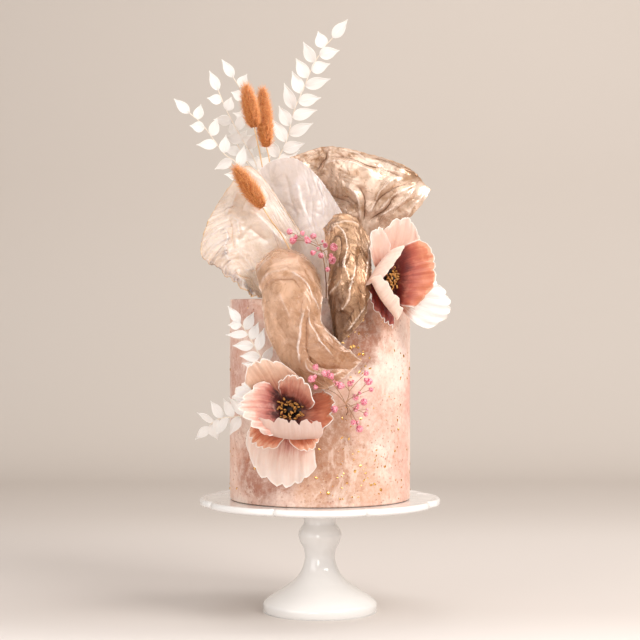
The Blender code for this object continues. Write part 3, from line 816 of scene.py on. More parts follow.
@dataclass(frozen=True)
class PetalPaper:
    """Hand-tinted petal paper: colour bleeds from the base to the edge along fine veins."""

    name: str
    base: Colour
    deep: Colour
    middle: Colour
    tip: Colour
    outer: Colour
    stops: tuple[float, float, float] = (0.3, 0.45, 0.7)
    edge: Colour = (0.86, 0.77, 0.70)
    vein: Colour = (0.42, 0.12, 0.09)
    streak: float = 0.13

    def build(self) -> Material:
        """Make the material."""
        shader = Shader(self.name)
        uv = shader.uv()
        along = shader.axis(uv, "Y")
        streaks = shader.clouds(shader.scaled(uv, (16.0, 1.1, 1.0)), 1.0, 5.0, 0.6, 0.4)
        fine = shader.clouds(shader.scaled(uv, (70.0, 1.8, 1.0)), 1.0, 3.0, 0.6, 0.5)
        blotch = shader.clouds(shader.place(), 90.0, 4.0, 0.6, 0.6)
        both = shader.math("ADD", shader.math("MULTIPLY", streaks, 0.6), shader.math("MULTIPLY", blotch, 0.4))
        reach = shader.math("ADD", along, shader.fit(both, 0.3, 0.7, -self.streak, self.streak))
        first, second, third = self.stops
        inner = shader.ramp(reach, ((0.0, self.base), (first, self.base), (second, self.deep),
                                    (third, self.middle), (0.95, self.tip)))
        outer = shader.ramp(reach, ((0.0, self.deep), (0.35, self.outer), (1.0, self.edge)))
        colour = shader.mix(shader.attribute("inner"), outer, inner)
        fading = shader.fit(along, 0.5, 0.95, 1.0, 0.3)
        veins = shader.math("MULTIPLY", shader.fit(fine, 0.56, 0.68, 0.0, 0.34), fading)
        colour = shader.mix(veins, colour, shader.mix(0.5, colour, self.vein))
        colour = shader.mix(shader.fit(blotch, 0.5, 0.75, 0.0, 0.3), colour, self.tip)
        colour = shader.mix(shader.attribute("rim"), colour, self.edge)
        shader.set(Base_Color=colour, Roughness=0.52)
        shader.glow(0.2, (0.006, 0.003, 0.002))
        shader.set(Sheen_Weight=0.15, Sheen_Roughness=0.4)
        ridges = shader.math("ADD", fine, shader.math("MULTIPLY", streaks, 0.8))
        shader.bump(ridges, 0.0005, 0.5)
        return shader.material


@dataclass(frozen=True)
class Plain:
    """A simple organic or metal finish with two tones and a fine grain."""

    name: str
    light: Colour
    dark: Colour
    scale: float
    roughness: float = 0.6
    metallic: float = 0.0
    grain: float = 0.0003
    glow: float = 0.0

    def build(self) -> Material:
        """Make the material."""
        shader = Shader(self.name)
        place = shader.place()
        tone = shader.clouds(place, self.scale, 5.0, 0.6, 0.4)
        shader.set(Base_Color=shader.mix(shader.fit(tone, 0.35, 0.65), self.dark, self.light))
        shader.set(Metallic=self.metallic)
        shader.set(Roughness=shader.fit(tone, 0.3, 0.7, self.roughness - 0.08, self.roughness + 0.1))
        shader.glow(self.glow, (0.005, 0.004, 0.003))
        shader.bump(shader.clouds(place, self.scale * 4.0, 4.0), self.grain, 0.5)
        return shader.material


@dataclass(frozen=True)
class LeafPaper:
    """A bleached leaf: chalky, thin, with a midrib and side veins."""

    light: Colour = (0.92, 0.87, 0.81)
    shade: Colour = (0.82, 0.74, 0.67)
    vein: Colour = (0.93, 0.89, 0.84)

    def build(self) -> Material:
        """Make the material."""
        shader = Shader("bleached_leaf")
        uv = shader.uv()
        aside = shader.math("ABSOLUTE", shader.math("SUBTRACT", shader.axis(uv, "X"), 0.5))
        slant = shader.math("MULTIPLY_ADD", aside, -1.4)
        shader.plug(slant.node.inputs[2], shader.axis(uv, "Y"))
        wave = shader.math("SINE", shader.math("MULTIPLY", slant, 95.0))
        ribs = shader.fit(wave, 0.35, 1.0)
        middle = shader.fit(aside, 0.0, 0.05, 1.0, 0.0)
        lines = shader.math("MAXIMUM", shader.math("MULTIPLY", ribs, 0.5), middle)
        tone = shader.clouds(shader.place(), 60.0, 4.0)
        ground = shader.mix(shader.fit(tone, 0.3, 0.7, 0.0, 0.5), self.light, self.shade)
        shader.set(Base_Color=shader.mix(lines, ground, self.vein), Roughness=0.55)
        shader.glow(0.3, (0.006, 0.005, 0.004))
        shader.bump(lines, 0.0004, 0.5)
        return shader.material


@dataclass(frozen=True)
class Backdrop:
    """The pale studio sweep, with painted light near the camera and painted shade towards and before the
    wall.
    """

    near: Colour = (0.60, 0.54, 0.50)
    # The far tone is painted shade towards the wall and the front tone painted light near the camera.
    far: Colour = (0.59, 0.525, 0.47)
    front: Colour = (0.87, 0.82, 0.79)
    horizon_shade: Colour = (0.48, 0.42, 0.375)

    def build(self) -> Material:
        """Make the material."""
        shader = Shader("studio_sweep")
        place = shader.place()
        depth = shader.axis(place, "Y")
        # Painted shade: the floor darkens from near to far to meet the wall without a seam.
        rise = shader.fit(depth, 0.2, 1.4)
        soft = shader.clouds(place, 1.6, 2.0)
        colour = shader.mix(rise, self.near, self.far)
        # Painted light: the floor is lighter close to the camera.
        colour = shader.mix(shader.fit(depth, 0.02, -0.3), colour, self.front)
        # Painted shade: a faint darker strip across the floor before the wall.
        horizon_shade_share = shader.math("MULTIPLY", shader.fit(depth, 0.42, 0.78), shader.fit(depth, 1.05, 1.35, 1.0, 0.0))
        colour = shader.mix(shader.math("MULTIPLY", horizon_shade_share, 0.5), colour, self.horizon_shade)
        shader.set(Base_Color=shader.mix(shader.fit(soft, 0.4, 0.6, 0.0, 0.12), colour, self.near))
        shader.set(Roughness=0.75, Specular_IOR_Level=0.25)
        return shader.material


def report(piece: Object, slot: str, nodes: Sequence[str] = ()) -> Object:
    """Ride the piece on the cake's body, hide the CAD nodes that it stands for, and log it with the name of
    its slot.

    Args:
        piece: The finished piece.
        slot: Name of its material slot, which is only logged.
        nodes: The CAD nodes that it replaces.

    Returns:
        The same piece.
    """
    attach(piece, BODY)
    if nodes:
        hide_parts(*nodes)
    LOG.info("%s: %d faces, slot %s, replaces %s", piece.name, len(piece.data.polygons), slot, list(nodes))
    return piece


def dress(piece: Object, *materials: Material, second_from: int | None = None) -> Object:
    """Give the piece its materials.

    Args:
        piece: The piece.
        materials: One material, or two.
        second_from: Faces from this one on take the second material.

    Returns:
        The same piece.
    """
    piece.data.materials.clear()
    for material in materials:
        piece.data.materials.append(material)
    if second_from is not None:
        second = np.arange(len(piece.data.polygons)) >= second_from
        piece.data.polygons.foreach_set("material_index", second.astype(np.int32))
    return piece


class ScatterTree(Wiring):
    """A Geometry Nodes tree that spreads small shapes over a surface and joins them into one mesh."""

    def __init__(self, name: str, numbers: dict[str, float]) -> None:
        """Start the tree with its named number inputs.

        Args:
            name: Name of the tree.
            numbers: Default of each named input.
        """
        self.tree = bpy.data.node_groups.new(name, "GeometryNodeTree")
        face = self.tree.interface
        face.new_socket("Geometry", in_out="INPUT", socket_type="NodeSocketGeometry")
        for key, value in numbers.items():
            made = face.new_socket(key, in_out="INPUT", socket_type="NodeSocketFloat")
            made.default_value = value
        face.new_socket("Geometry", in_out="OUTPUT", socket_type="NodeSocketGeometry")
        self.entry = self.node("NodeGroupInput")
        self.exit = self.node("NodeGroupOutput")

    def link(self, source: Socket, target: Socket) -> None:
        """Join two sockets."""
        self.tree.links.new(source, target)

    def number(self, key: str) -> Socket:
        """The output of a named input."""
        return self.entry.outputs[key]

    def spread(self, density: Socket, seed: int) -> Node:
        """Scatter points over the host.

        Args:
            density: Points to the square metre.
            seed: Picks their places.

        Returns:
            The node, with Points, Normal and Rotation.
        """
        made = self.node("GeometryNodeDistributePointsOnFaces", distribute_method="RANDOM")
        self.link(self.entry.outputs["Geometry"], made.inputs["Mesh"])
        self.link(density, made.inputs["Density"])
        made.inputs["Seed"].default_value = seed
        return made

    def place(self, points: Node, shape: Node, rotation: Socket, scale: Socket) -> Socket:
        """Put a shape on every point.

        Args:
            points: The node that scattered them.
            shape: The node that makes the shape.
            rotation: Turn of each one.
            scale: Size of each one.

        Returns:
            The instances.
        """
        made = self.node("GeometryNodeInstanceOnPoints")
        self.link(points.outputs["Points"], made.inputs["Points"])
        self.link(shape.outputs["Mesh"], made.inputs["Instance"])
        self.link(rotation, made.inputs["Rotation"])
        self.link(scale, made.inputs["Scale"])
        return made.outputs["Instances"]

    def random_vector(self, low: Point, high: Point, seed: int) -> Socket:
        """A random vector for each point.

        Args:
            low: Its least parts.
            high: Its largest parts.
            seed: Picks the numbers.

        Returns:
            The vector.
        """
        made = self.node("FunctionNodeRandomValue", data_type="FLOAT_VECTOR")
        made.inputs[0].default_value = low
        made.inputs[1].default_value = high
        made.inputs["Seed"].default_value = seed
        return made.outputs[0]

    def random_number(self, low: float, high: float, seed: int) -> Socket:
        """A random number for each point.

        Args:
            low: The least.
            high: The largest.
            seed: Picks the numbers.

        Returns:
            The number.
        """
        made = self.node("FunctionNodeRandomValue", data_type="FLOAT")
        made.inputs[2].default_value = low
        made.inputs[3].default_value = high
        made.inputs["Seed"].default_value = seed
        return made.outputs[1]

    def finish(self, geometry: Socket, material: Material) -> None:
        """Realize the instances, set their material and close the tree.

        Args:
            geometry: The instances.
            material: Their material.
        """
        real = self.node("GeometryNodeRealizeInstances")
        paint = self.node("GeometryNodeSetMaterial")
        paint.inputs["Material"].default_value = material
        self.link(geometry, real.inputs["Geometry"])
        self.link(real.outputs["Geometry"], paint.inputs["Geometry"])
        self.link(paint.outputs["Geometry"], self.exit.inputs["Geometry"])

    def apply(self, name: str, host: Object, numbers: dict[str, float]) -> Object:
        """Run the tree on a host mesh and keep the result as a plain mesh.

        Args:
            name: Name of the new piece.
            host: The surface; it is removed afterwards.
            numbers: Values of the named inputs.

        Returns:
            The new piece.
        """
        modifier = host.modifiers.new("scatter", "NODES")
        modifier.node_group = self.tree
        for item in self.tree.interface.items_tree:
            if getattr(item, "in_out", "") == "INPUT" and item.name in numbers:
                modifier[item.identifier] = numbers[item.name]
        mesh = bpy.data.meshes.new_from_object(host.evaluated_get(bpy.context.evaluated_depsgraph_get()))
        host.modifiers.clear()
        bpy.data.objects.remove(host, do_unlink=True)
        piece = bpy.data.objects.new(name, mesh)
        mesh.name = name
        mesh.shade_smooth()
        bpy.context.scene.collection.objects.link(piece)
        return piece


@dataclass
class Stand:
    """The pedestal: a turned foot and stem, and a plate with a scalloped rim."""

    segments: int = 480
    lobes: int = 8
    bulge: float = 1.2
    notch: float = 3.8
    sharpness: float = 9.0
    step_width: float = 0.16
    step_depth: float = 0.9
    runs: tuple = (
        ((0, 0), (44, 0), (46.6, 0.15), (47.6, 1.2), (48, 4), (47.9, 6.4), (47.2, 7.9)),
        ((47.2, 7.9), (46, 9.1), (43, 11.6), (38.5, 14.6), (32, 18.6), (25, 23.4), (20.2, 28), (17.0, 32),
         (14.6, 36.6), (13.2, 42), (12.7, 47), (13.9, 53), (16.5, 58), (18.1, 62.6)),
        ((18.1, 62.6), (18.25, 64.5), (17.4, 68), (15.4, 71), (14.2, 72.8)),
        ((14.2, 72.8), (13.6, 74), (13.6, 77.2), (15.2, 80.6), (20, 83.6)),
        ((20, 83.6), (40, 86.0), (60, 87.9), (80, 88.9), (95, 89.5), (99.6, 90.3)),
        ((99.6, 90.3), (101.1, 91.3), (101.5, 92.6), (101.2, 94.4), (100.2, 95.6), (98.6, 95.95),
         (96.8, 95.6), (94.6, 95.05), (92, 94.95)),
        ((92, 94.95), (60, 94.97), (0, 95.0)),
    )
    per_run: tuple = (14, 56, 10, 12, 14, 22, 6)

    def scallop(self, angle: Array, radius: float) -> Array:
        """How far the rim is pulled in.

        Args:
            angle: The angles.
            radius: The ring's radius; the foot and the plate's middle stay round.

        Returns:
            Millimetres at each angle.
        """
        share = math.tau / self.lobes
        across = 2 * np.abs((angle + share / 2) % share / share - 0.5)
        step = self.step_depth * smoothstep(across, 1.0 - 2 * self.step_width, 1.0 - self.step_width)
        inset = self.bulge * across ** 2 + (self.notch - self.step_depth) * across ** (2 * self.sharpness)
        inset = inset + step
        return inset * smoothstep(np.array(radius), 70.0, 96.0)

    def ring(self, angles: Array, radius: float, height: float) -> tuple[Array, float]:
        """The scalloped radii of one ring, and its height."""
        return radius - self.scallop(angles, radius), height

    def build(self, glaze: Material) -> None:
        """Turn the profile and pull the rim in.

        Args:
            glaze: The stand's material.
        """
        profile: list[Array] = []
        for run, count in zip(self.runs, self.per_run):
            line = spline_weights(len(run), count) @ np.array(run, float)
            profile += list(line if not profile else line[1:])
        piece = turned("stand_porcelain", np.maximum(profile, 0.0), self.segments, self.ring, STAND_CREASE)
        report(dress(piece, glaze), "porcelain", ("stand",))


@dataclass(frozen=True)
class Drift:
    """A field where metal leaf was pressed on: an oval on the cake's side."""

    angle: float
    height: float
    angle_spread: float
    height_spread: float
    density: float
    slope: float = 0.0


@dataclass
class Cake:
    """The iced tier and the metal leaf on it."""

    around: int = 400
    up: int = 150
    corner: float = 1.3
    unevenness: float = 0.28
    broad_wave: float = 29.8453
    fine_wave: float = 9.9484
    drifts: tuple[Drift, ...] = (
        Drift(-68, 222, 9, 20, 1.0, 1.3),
        Drift(-62, 208, 12, 10, 0.5),
        Drift(-60, 140, 26, 34, 0.34),
        Drift(-60, 130, 18, 20, 0.5, -0.8),
        Drift(-70, 124, 13, 26, 0.85, -0.6),
        Drift(-22, 205, 6, 14, 0.5),
        Drift(-40, 170, 18, 50, 0.2),
        Drift(-62, 112, 30, 14, 0.45),
        Drift(-105, 106, 14, 8, 0.35),
        Drift(-84, 128, 10, 22, 0.3),
        Drift(-15, 160, 16, 60, 0.12),
        Drift(120, 180, 80, 60, 0.08),
    )
    fleck_seed: int = 11
    fleck_grid: tuple[int, int] = (80, 180)
    fleck_numbers: dict[str, float] = field(
        default_factory=lambda: {"Density": 130000.0, "Size": 0.001, "Smallest": 0.3, "Largest": 2.6})

    def build(self, icing: Material, leaf: Material) -> None:
        """Build the tier, then press the flecks on."""
        report(dress(self.tier(), icing), "icing", ("cake",))
        report(self.flecks(leaf), "icing")

    def profile(self) -> Array:
        """Radius and height from the bottom's middle, up the side, to the top's middle."""
        turns = np.linspace(0, math.pi / 2, 7)
        inner = CAKE_RADIUS - self.corner
        low = [(inner + self.corner * math.sin(turn), CAKE_BOTTOM + self.corner * (1 - math.cos(turn)))
               for turn in turns]
        high = [(inner + self.corner * math.cos(turn), CAKE_TOP - self.corner * (1 - math.sin(turn)))
                for turn in turns]
        side = [(CAKE_RADIUS, height) for height in np.linspace(low[-1][1], high[0][1], self.up)[1:-1]]
        bottom = [(radius, CAKE_BOTTOM) for radius in (0.0, 30.0, 60.0)]
        top = [(radius, CAKE_TOP) for radius in np.linspace(inner, 0.0, 40)[1:]]
        return np.array(bottom + low + side + high + top)

    def ring(self, angles: Array, radius: float, height: float) -> tuple:
        """One ring of hand-smoothed icing: uneven at the side, faintly rippled on the top.

        Args:
            angles: The angles of its points.
            radius: Its radius in the profile.
            height: Its height in the profile.

        Returns:
            The radius and the height of each point.
        """
        x = angles * CAKE_RADIUS
        wobble = (0.5 + 0.5 * noise(x / self.broad_wave, height / 26.0, 4) * 0.7
                  + 0.15 * noise(x / self.fine_wave, height / 5.0, 5))
        reach = radius - self.unevenness * wobble * min(1.0, radius / CAKE_RADIUS) ** 4
        if height > CAKE_TOP - 0.01:
            flat_x, flat_y = radius * np.cos(angles), radius * np.sin(angles)
            height = height - 0.25 * (0.5 + 0.5 * noise(flat_x / 9.0, flat_y / 14.0, 6))
        return reach, height

    def tier(self) -> Object:
        """The iced tier."""
        return turned("icing_tier", self.profile(), self.around, self.ring, TIER_CREASE)

    def fleck_host(self) -> Object:
        """The cake's side as a coarse mesh that says how thick the flecks lie."""
        rows, columns = self.fleck_grid
        angles = math.tau * np.arange(columns) / columns
        heights = np.linspace(CAKE_BOTTOM + 2.0, CAKE_TOP - 2.0, rows)
        angle, height = np.meshgrid(angles, heights)
        density = np.zeros_like(angle)
        for drift in self.drifts:
            turn = (np.degrees(angle) - drift.angle + 180.0) % 360.0 - 180.0
            rise = height - drift.height + drift.slope * turn
            density = np.maximum(density, drift.density * np.exp(
                -(turn / drift.angle_spread) ** 2 - (rise / drift.height_spread) ** 2))
        clump = 0.5 + 0.9 * noise(angle * 14.0, height / 6.0, 21)
        density = density * np.clip(clump, 0.05, 1.3) + 0.012
        radius = CAKE_RADIUS - 0.05
        points = np.stack([radius * np.cos(angle), radius * np.sin(angle), height], axis=2).reshape(-1, 3)
        index = np.arange(rows * columns).reshape(rows, columns)
        after = np.roll(index, -1, axis=1)
        faces = np.stack([index[:-1], after[:-1], after[1:], index[1:]], axis=2).reshape(-1, 4).tolist()
        return add_piece("leaf_flecks_host", points, faces, values={"leaf_density": density.ravel()})

    def flecks(self, leaf: Material) -> Object:
        """Crumpled flecks of metal leaf, thickest in the drifts.

        Args:
            leaf: Their material.

        Returns:
            The piece.
        """
        tree = ScatterTree("press_flecks", self.fleck_numbers)
        reader = tree.node("GeometryNodeInputNamedAttribute", data_type="FLOAT")
        reader.inputs["Name"].default_value = "leaf_density"
        density = tree.math("MULTIPLY", reader.outputs[0], tree.number("Density"))
        points = tree.spread(density, self.fleck_seed)
        flake = tree.node("GeometryNodeMeshIcoSphere")
        flake.inputs["Radius"].default_value = 1.0
        flake.inputs["Subdivisions"].default_value = 1
        skew = tree.math("POWER", tree.random_number(0.0, 1.0, 8), 2.6)
        gap = tree.math("SUBTRACT", tree.number("Largest"), tree.number("Smallest"))
        size = tree.math("MULTIPLY_ADD", skew, gap)
        tree.link(tree.number("Smallest"), size.node.inputs[2])
        stretch = tree.node("ShaderNodeVectorMath", operation="SCALE")
        tree.link(tree.random_vector((0.5, 0.25, 0.10), (1.0, 0.7, 0.28), 3), stretch.inputs[0])
        tree.link(tree.math("MULTIPLY", size, tree.number("Size")), stretch.inputs["Scale"])
        flakes = tree.place(points, flake, points.outputs["Rotation"], stretch.outputs[0])
        turn = tree.node("GeometryNodeRotateInstances")
        tree.link(flakes, turn.inputs["Instances"])
        tree.link(tree.random_vector((-0.3, -0.3, 0.0), (0.3, 0.3, 6.28), 5), turn.inputs["Rotation"])
        tree.finish(turn.outputs["Instances"], leaf)
        piece = tree.apply("metal_leaf_flecks", self.fleck_host(), self.fleck_numbers)
        piece.data.shade_flat()
        return piece


@dataclass(frozen=True)
class Fold:
    """A crisp fold along a line seen from the front, in x and z; one flank falls away more gently.

    A tint over 0 darkens the paper along the valley, as painted crease shade that is partly the paper's own
    pigment, and one under 0 lightens it, as a painted highlight on the crest.
    """

    line: tuple[tuple[float, float], ...]
    height: float
    width: float
    tint: float = 0.0


@dataclass
class Sail:
    """A crumpled sheet of paper, from its roots on the cake through rows of control points."""

    name: str
    node: str
    slot: str
    paper: Wash
    roots: tuple[tuple[float, float], ...]
    rows: tuple
    folds: float
    depth: float
    phase: float = 0.0
    pleats: tuple[Fold, ...] = ()
    pleats_from: float = 0.0
    # Where the sheet darkens: painted shade on the bronze and gold sails, a darker tone on the others.
    shade_and_tone_where: Share = lambda u, v: np.zeros_like(u)
    crumple_size: float = 11.0
    crumple_depth: float = 0.8
    crumple_where: Share = lambda u, v: np.ones_like(u)
    frill: float = 0.8
    seed: int = 1
    grid: tuple[int, int] = (170, 150)
    thickness: float = 0.45

    def surface(self) -> tuple[Array, dict[str, Array]]:
        """The sail's middle surface with its folds and crumples.

        Returns:
            The grid of points and the named numbers on it.
        """
        net = np.array([[(x, y, ROOT_HEIGHT) for x, y in self.roots], *self.rows], float)
        along = spline_weights(net.shape[0], self.grid[0])
        across = spline_weights(net.shape[1], self.grid[1])
        grid = np.einsum("ai,bj,ijk->abk", along, across, net)
        u, v = lattice(self.grid, 0.0)
        run = np.cumsum(np.linalg.norm(np.diff(grid, axis=0, prepend=grid[:1]), axis=2), axis=0)
        width = np.cumsum(np.linalg.norm(np.diff(grid, axis=1, prepend=grid[:, :1]), axis=2), axis=1)
        wave = np.sin(math.tau * self.folds * v + self.phase)
        wave = wave + 0.35 * np.sin(math.tau * 2.3 * self.folds * v + 1.7 * self.phase + 3.0 * u)
        lift = self.depth * (0.3 + 0.7 * u) * wave * np.minimum(1.0, 5.0 * u)
        roots = smoothstep(u, 0.0, 0.12)
        where = self.crumple_where(u, v) * roots
        lift = lift + self.crumple_depth * where * crumple(run, width, self.crumple_size, self.seed)
        edge = np.minimum(np.minimum(width, width[:, -1:] - width), run[-1:] - run)
        ruffle = noise(width / 5.0, run / 5.0, self.seed + 40)
        ruffle = ruffle + 0.6 * noise(width / 2.4, run / 2.4, self.seed + 41)
        lift = lift + self.frill * roots * np.exp(-edge / 4.0) * ruffle
        grid = grid + grid_normals(grid) * lift[:, :, None]
        pressed, tint = self.pressed(grid, u)
        normals = grid_normals(grid)
        facing = np.clip(-2.0 * normals[:, :, 1], -1.0, 1.0)
        grid = grid + normals * (pressed * facing)[:, :, None]
        grid = self.ragged(grid, width, run, roots)
        rim = np.exp(-(edge / 0.9) ** 2) * roots
        return grid, {"rim": rim, "tint": tint, "deep": self.shade_and_tone_where(u, v)}

    def pressed(self, grid: Array, u: Array) -> tuple[Array, Array]:
        """Press the folds into the sheet.

        Args:
            grid: The sheet's points.
            u: Share of the way from the root to the edge, for each point.

        Returns:
            How far the folds lift each point, and their tint: painted crease shade and crest highlights.
        """
        lift, tint = np.zeros_like(u), np.zeros_like(u)
        seen = grid[:, :, [0, 2]]
        wander = 0.7 * noise(seen[:, :, 0] / 9.0, seen[:, :, 1] / 9.0, self.seed + 70)
        allowed = smoothstep(u, self.pleats_from - 0.04, self.pleats_from + 0.04) if self.pleats_from else 1.0
        for fold in self.pleats:
            line = spline_weights(len(fold.line), 64) @ np.array(fold.line, float)
            course = np.gradient(line, axis=0)
            away = seen[:, :, None, :] - line
            square = (away ** 2).sum(axis=3)
            nearest = square.argmin(axis=2)
            share = nearest / (len(line) - 1.0)
            gap = np.take_along_axis(away, nearest[:, :, None, None], axis=2)[:, :, 0]
            ahead = course[nearest]
            side = np.sign(ahead[:, :, 0] * gap[:, :, 1] - ahead[:, :, 1] * gap[:, :, 0])
            far = np.sqrt(square.min(axis=2)) * side + wander
            window = smoothstep(share, 0.0, 0.22) * (1.0 - smoothstep(share, 0.78, 1.0)) * allowed
            reach = fold.width * np.where(far > 0, 1.0, 1.9)
            crest = np.exp(-(np.sqrt(far ** 2 + 0.16) - 0.4) / reach)
            lift = lift + fold.height * window * crest
            # Painted shade along the valley where tint is over 0, a painted highlight on the crest where it
            # is under 0.
            tint = tint + fold.tint * window * np.exp(-(far / (0.36 * fold.width)) ** 2)
        return lift, np.clip(tint, -1.0, 1.0)

    def ragged(self, grid: Array, width: Array, run: Array, roots: Array) -> Array:
        """Draw the free edges in and out a little, as torn paper has them.

        Args:
            grid: The sheet's points.
            width: Millimetres across to each point.
            run: Millimetres from the root to each point.
            roots: 0 at the root and 1 past it.

        Returns:
            The new points.
        """
        everywhere = slice(None)
        result = grid.copy()
        for edge, inward, place in (
            ((everywhere, 0), (everywhere, 1), run[:, 0]),
            ((everywhere, -1), (everywhere, -2), run[:, -1]),
            ((-1, everywhere), (-2, everywhere), width[-1]),
        ):
            pull = 2.7 * (0.5 + 0.5 * noise(place / 3.1, 0.0, self.seed + 60)) * roots[edge]
            result[edge] = grid[edge] + (grid[inward] - grid[edge]) * np.clip(pull, 0, 0.9)[:, None]
        return result

    def build(self, paper: Material) -> None:
        """Build the sheet."""
        grid, values = self.surface()
        report(dress(sheet(self.name, grid, self.thickness, values), paper), self.slot, (self.node,))


@dataclass(frozen=True)
class Petal:
    """One petal: its spine's middle and tip from the flower's centre, its width and its shape."""

    name: str
    middle: Point
    tip: Point
    width: float
    layer: int
    cup: float
    frill: float
    tone: Tone
    spread: tuple = ()
    shoulder: float = 0.22
    base_share: float = 0.16
    pinch: float = 0.0
    lobes: float = 6.0
    ragged: float = 0.05
    curl: float = 1.5
    pleat: float = 0.16
    seed: int = 1


@dataclass
class Poppy:
    """A flower of tinted paper petals round a dark heart with golden stamens."""

    name: str
    centre: Point
    axis: Point
    petals: tuple[Petal, ...]
    ring: float = 6.0
    layer_step: float = 1.4
    thickness: float = 0.5
    grid: tuple[int, int] = (64, 72)
    heart_radius: float = 4.2
    heart_rise: float = 5.0
    stamen_count: int = 44
    stamen_spread: float = 11.0

    def petal_surface(self, petal: Petal) -> tuple[Array, dict[str, Array]]:
        """A petal's middle surface, frilled and pleated.

        Args:
            petal: The petal.

        Returns:
            The grid of points and the named numbers on it.
        """
        centre, axis = np.array(self.centre, float), unit(self.axis)
        middle, tip = centre + petal.middle, centre + petal.tip
        outward = np.array(petal.middle, float)
        outward = unit(outward - axis * np.dot(outward, axis))
        base = centre + outward * self.ring + axis * (petal.layer * self.layer_step - 2.0)
        control = 2 * middle - (base + tip) / 2
        side = unit(petal.spread if petal.spread else np.cross(middle - base, axis))
        inward = 1.0 if np.dot(np.cross(side, middle - base), axis) > 0 else -1.0
        u, v = lattice(self.grid)
        wobble = 1.0 + 0.05 * noise(u * 5.0, petal.seed + np.sign(v) * 7.0, 78) * smoothstep(u, 0.3, 0.9)
        share = petal.base_share + (1 - petal.base_share) * np.sin(math.pi / 2 * u ** 0.8)
        half = petal.width / 2 * share * (1 - petal.pinch * u ** 3) * wobble
        turn = math.pi * petal.lobes * (v + 1) / 2 + petal.seed + 0.9 * noise(v * 2.2, petal.seed, 70)
        notch = (1.0 - np.abs(np.sin(turn))) ** 1.5
        tears = (0.9 * notch + 0.45 * (1.0 + noise(v * 4.0, petal.seed, 71))
                 + 0.16 * noise(v * 16.0, petal.seed, 72))
        torn = 1.0 - petal.ragged * u ** 4 * tears
        t = (u * (1 - petal.shoulder * np.abs(v) ** 2.4) * torn)[:, :, None]
        spine = (1 - t) ** 2 * base + 2 * t * (1 - t) * control + t ** 2 * tip
        tangent = 2 * (1 - t) * (control - base) + 2 * t * (tip - control)
        tangent = tangent / np.linalg.norm(tangent, axis=2, keepdims=True)
        normal = inward * np.cross(np.broadcast_to(side, tangent.shape), tangent)
        normal = normal / np.linalg.norm(normal, axis=2, keepdims=True)
        lift = petal.cup * v * v * u + petal.frill * u ** 2 * np.sin(5.0 * v + petal.layer)
        edge = smoothstep(u, 0.5, 1.0) ** 1.5
        waves = 1.1 * np.cos(2 * turn) + 1.5 * noise(v * 4.0, petal.seed + u * 0.8, 73)
        lift = lift + petal.frill * edge * waves
        lift = lift + 0.5 * petal.frill * edge * noise(v * 12.0, petal.seed + u * 1.5, 74)
        sides = smoothstep(np.abs(v), 0.7, 1.0)
        lift = lift + 1.5 * petal.frill * noise(u * 7.0, petal.seed + np.sign(v) * 7.0, 75) * sides * u
        rolled = smoothstep(u, 0.82, 1.0) ** 2 + 0.6 * smoothstep(np.abs(v), 0.85, 1.0) ** 2 * u
        lift = lift - petal.curl * rolled
        pleat = noise(v * 30.0, petal.seed + u * 1.2, 76) * 0.7 + noise(v * 12.0, petal.seed + u, 77)
        lift = lift + petal.pleat * pleat * smoothstep(u, 0.1, 0.5)
        grid = spine + side * (half * v)[:, :, None] + normal * lift[:, :, None]
        flanks = smoothstep(np.abs(v), 0.96, 1.0) * smoothstep(u, 0.3, 0.7)
        rim = np.maximum(smoothstep(u, 0.965, 1.0), flanks)
        if np.mean(np.sum(grid_normals(grid) * normal, axis=2)) < 0:
            grid, rim = grid[:, ::-1], rim[:, ::-1]
        return grid, {"rim": rim}

    def build(self, tones: dict[Tone, Material], heart: Material, anther: Material, sepal: Material) -> None:
        """Build the flower.

        Args:
            tones: The petals' materials.
            heart: Material of the seed head, its cup and the filaments.
            anther: Material of the anthers.
            sepal: Material of the cup's back.
        """
        for petal in self.petals:
            grid, values = self.petal_surface(petal)
            piece = sheet(f"{self.name}_petal_{petal.name}", grid, self.thickness, values)
            report(dress(piece, tones[petal.tone]), "petal", (f"{self.name}_{petal.name}",))
        self.heart(heart, sepal)
        report(self.stamens(heart, anther), "heart")

    def heart(self, heart: Material, sepal: Material) -> None:
        """Build the seed head, and the cup under it.

        Args:
            heart: Material of both.
            sepal: Material of the cup's back.
        """
        centre, axis = np.array(self.centre, float), unit(self.axis)
        middle = centre + axis * self.heart_rise
        turns = np.linspace(0.12, 3.02, 22)
        route = [middle + axis * self.heart_radius * 1.35 * -math.cos(turn) for turn in turns]
        radii = [self.heart_radius * math.sin(turn) * (1.0 + 0.04 * math.sin(9 * turn)) for turn in turns]
        bowl = [centre + axis * rise for rise in (-3.2, -2.6, -1.0, 0.4, 1.2)]
        batch = Batch()
        batch.add(*tube_shape(np.array(route), radii, 40))
        seeds = len(batch.faces)
        batch.add(*tube_shape(np.array(bowl), [2.0, 6.0, 9.5, 11.0, 8.0], 40))
        piece = dress(batch.piece(f"{self.name}_seed_head", SEED_CREASE), heart, sepal)
        for face in piece.data.polygons[seeds:]:
            if np.dot(np.array(face.center) / MM - centre, axis) < 0.5:
                face.material_index = 1
        report(piece, "heart", (f"{self.name}_heart",))

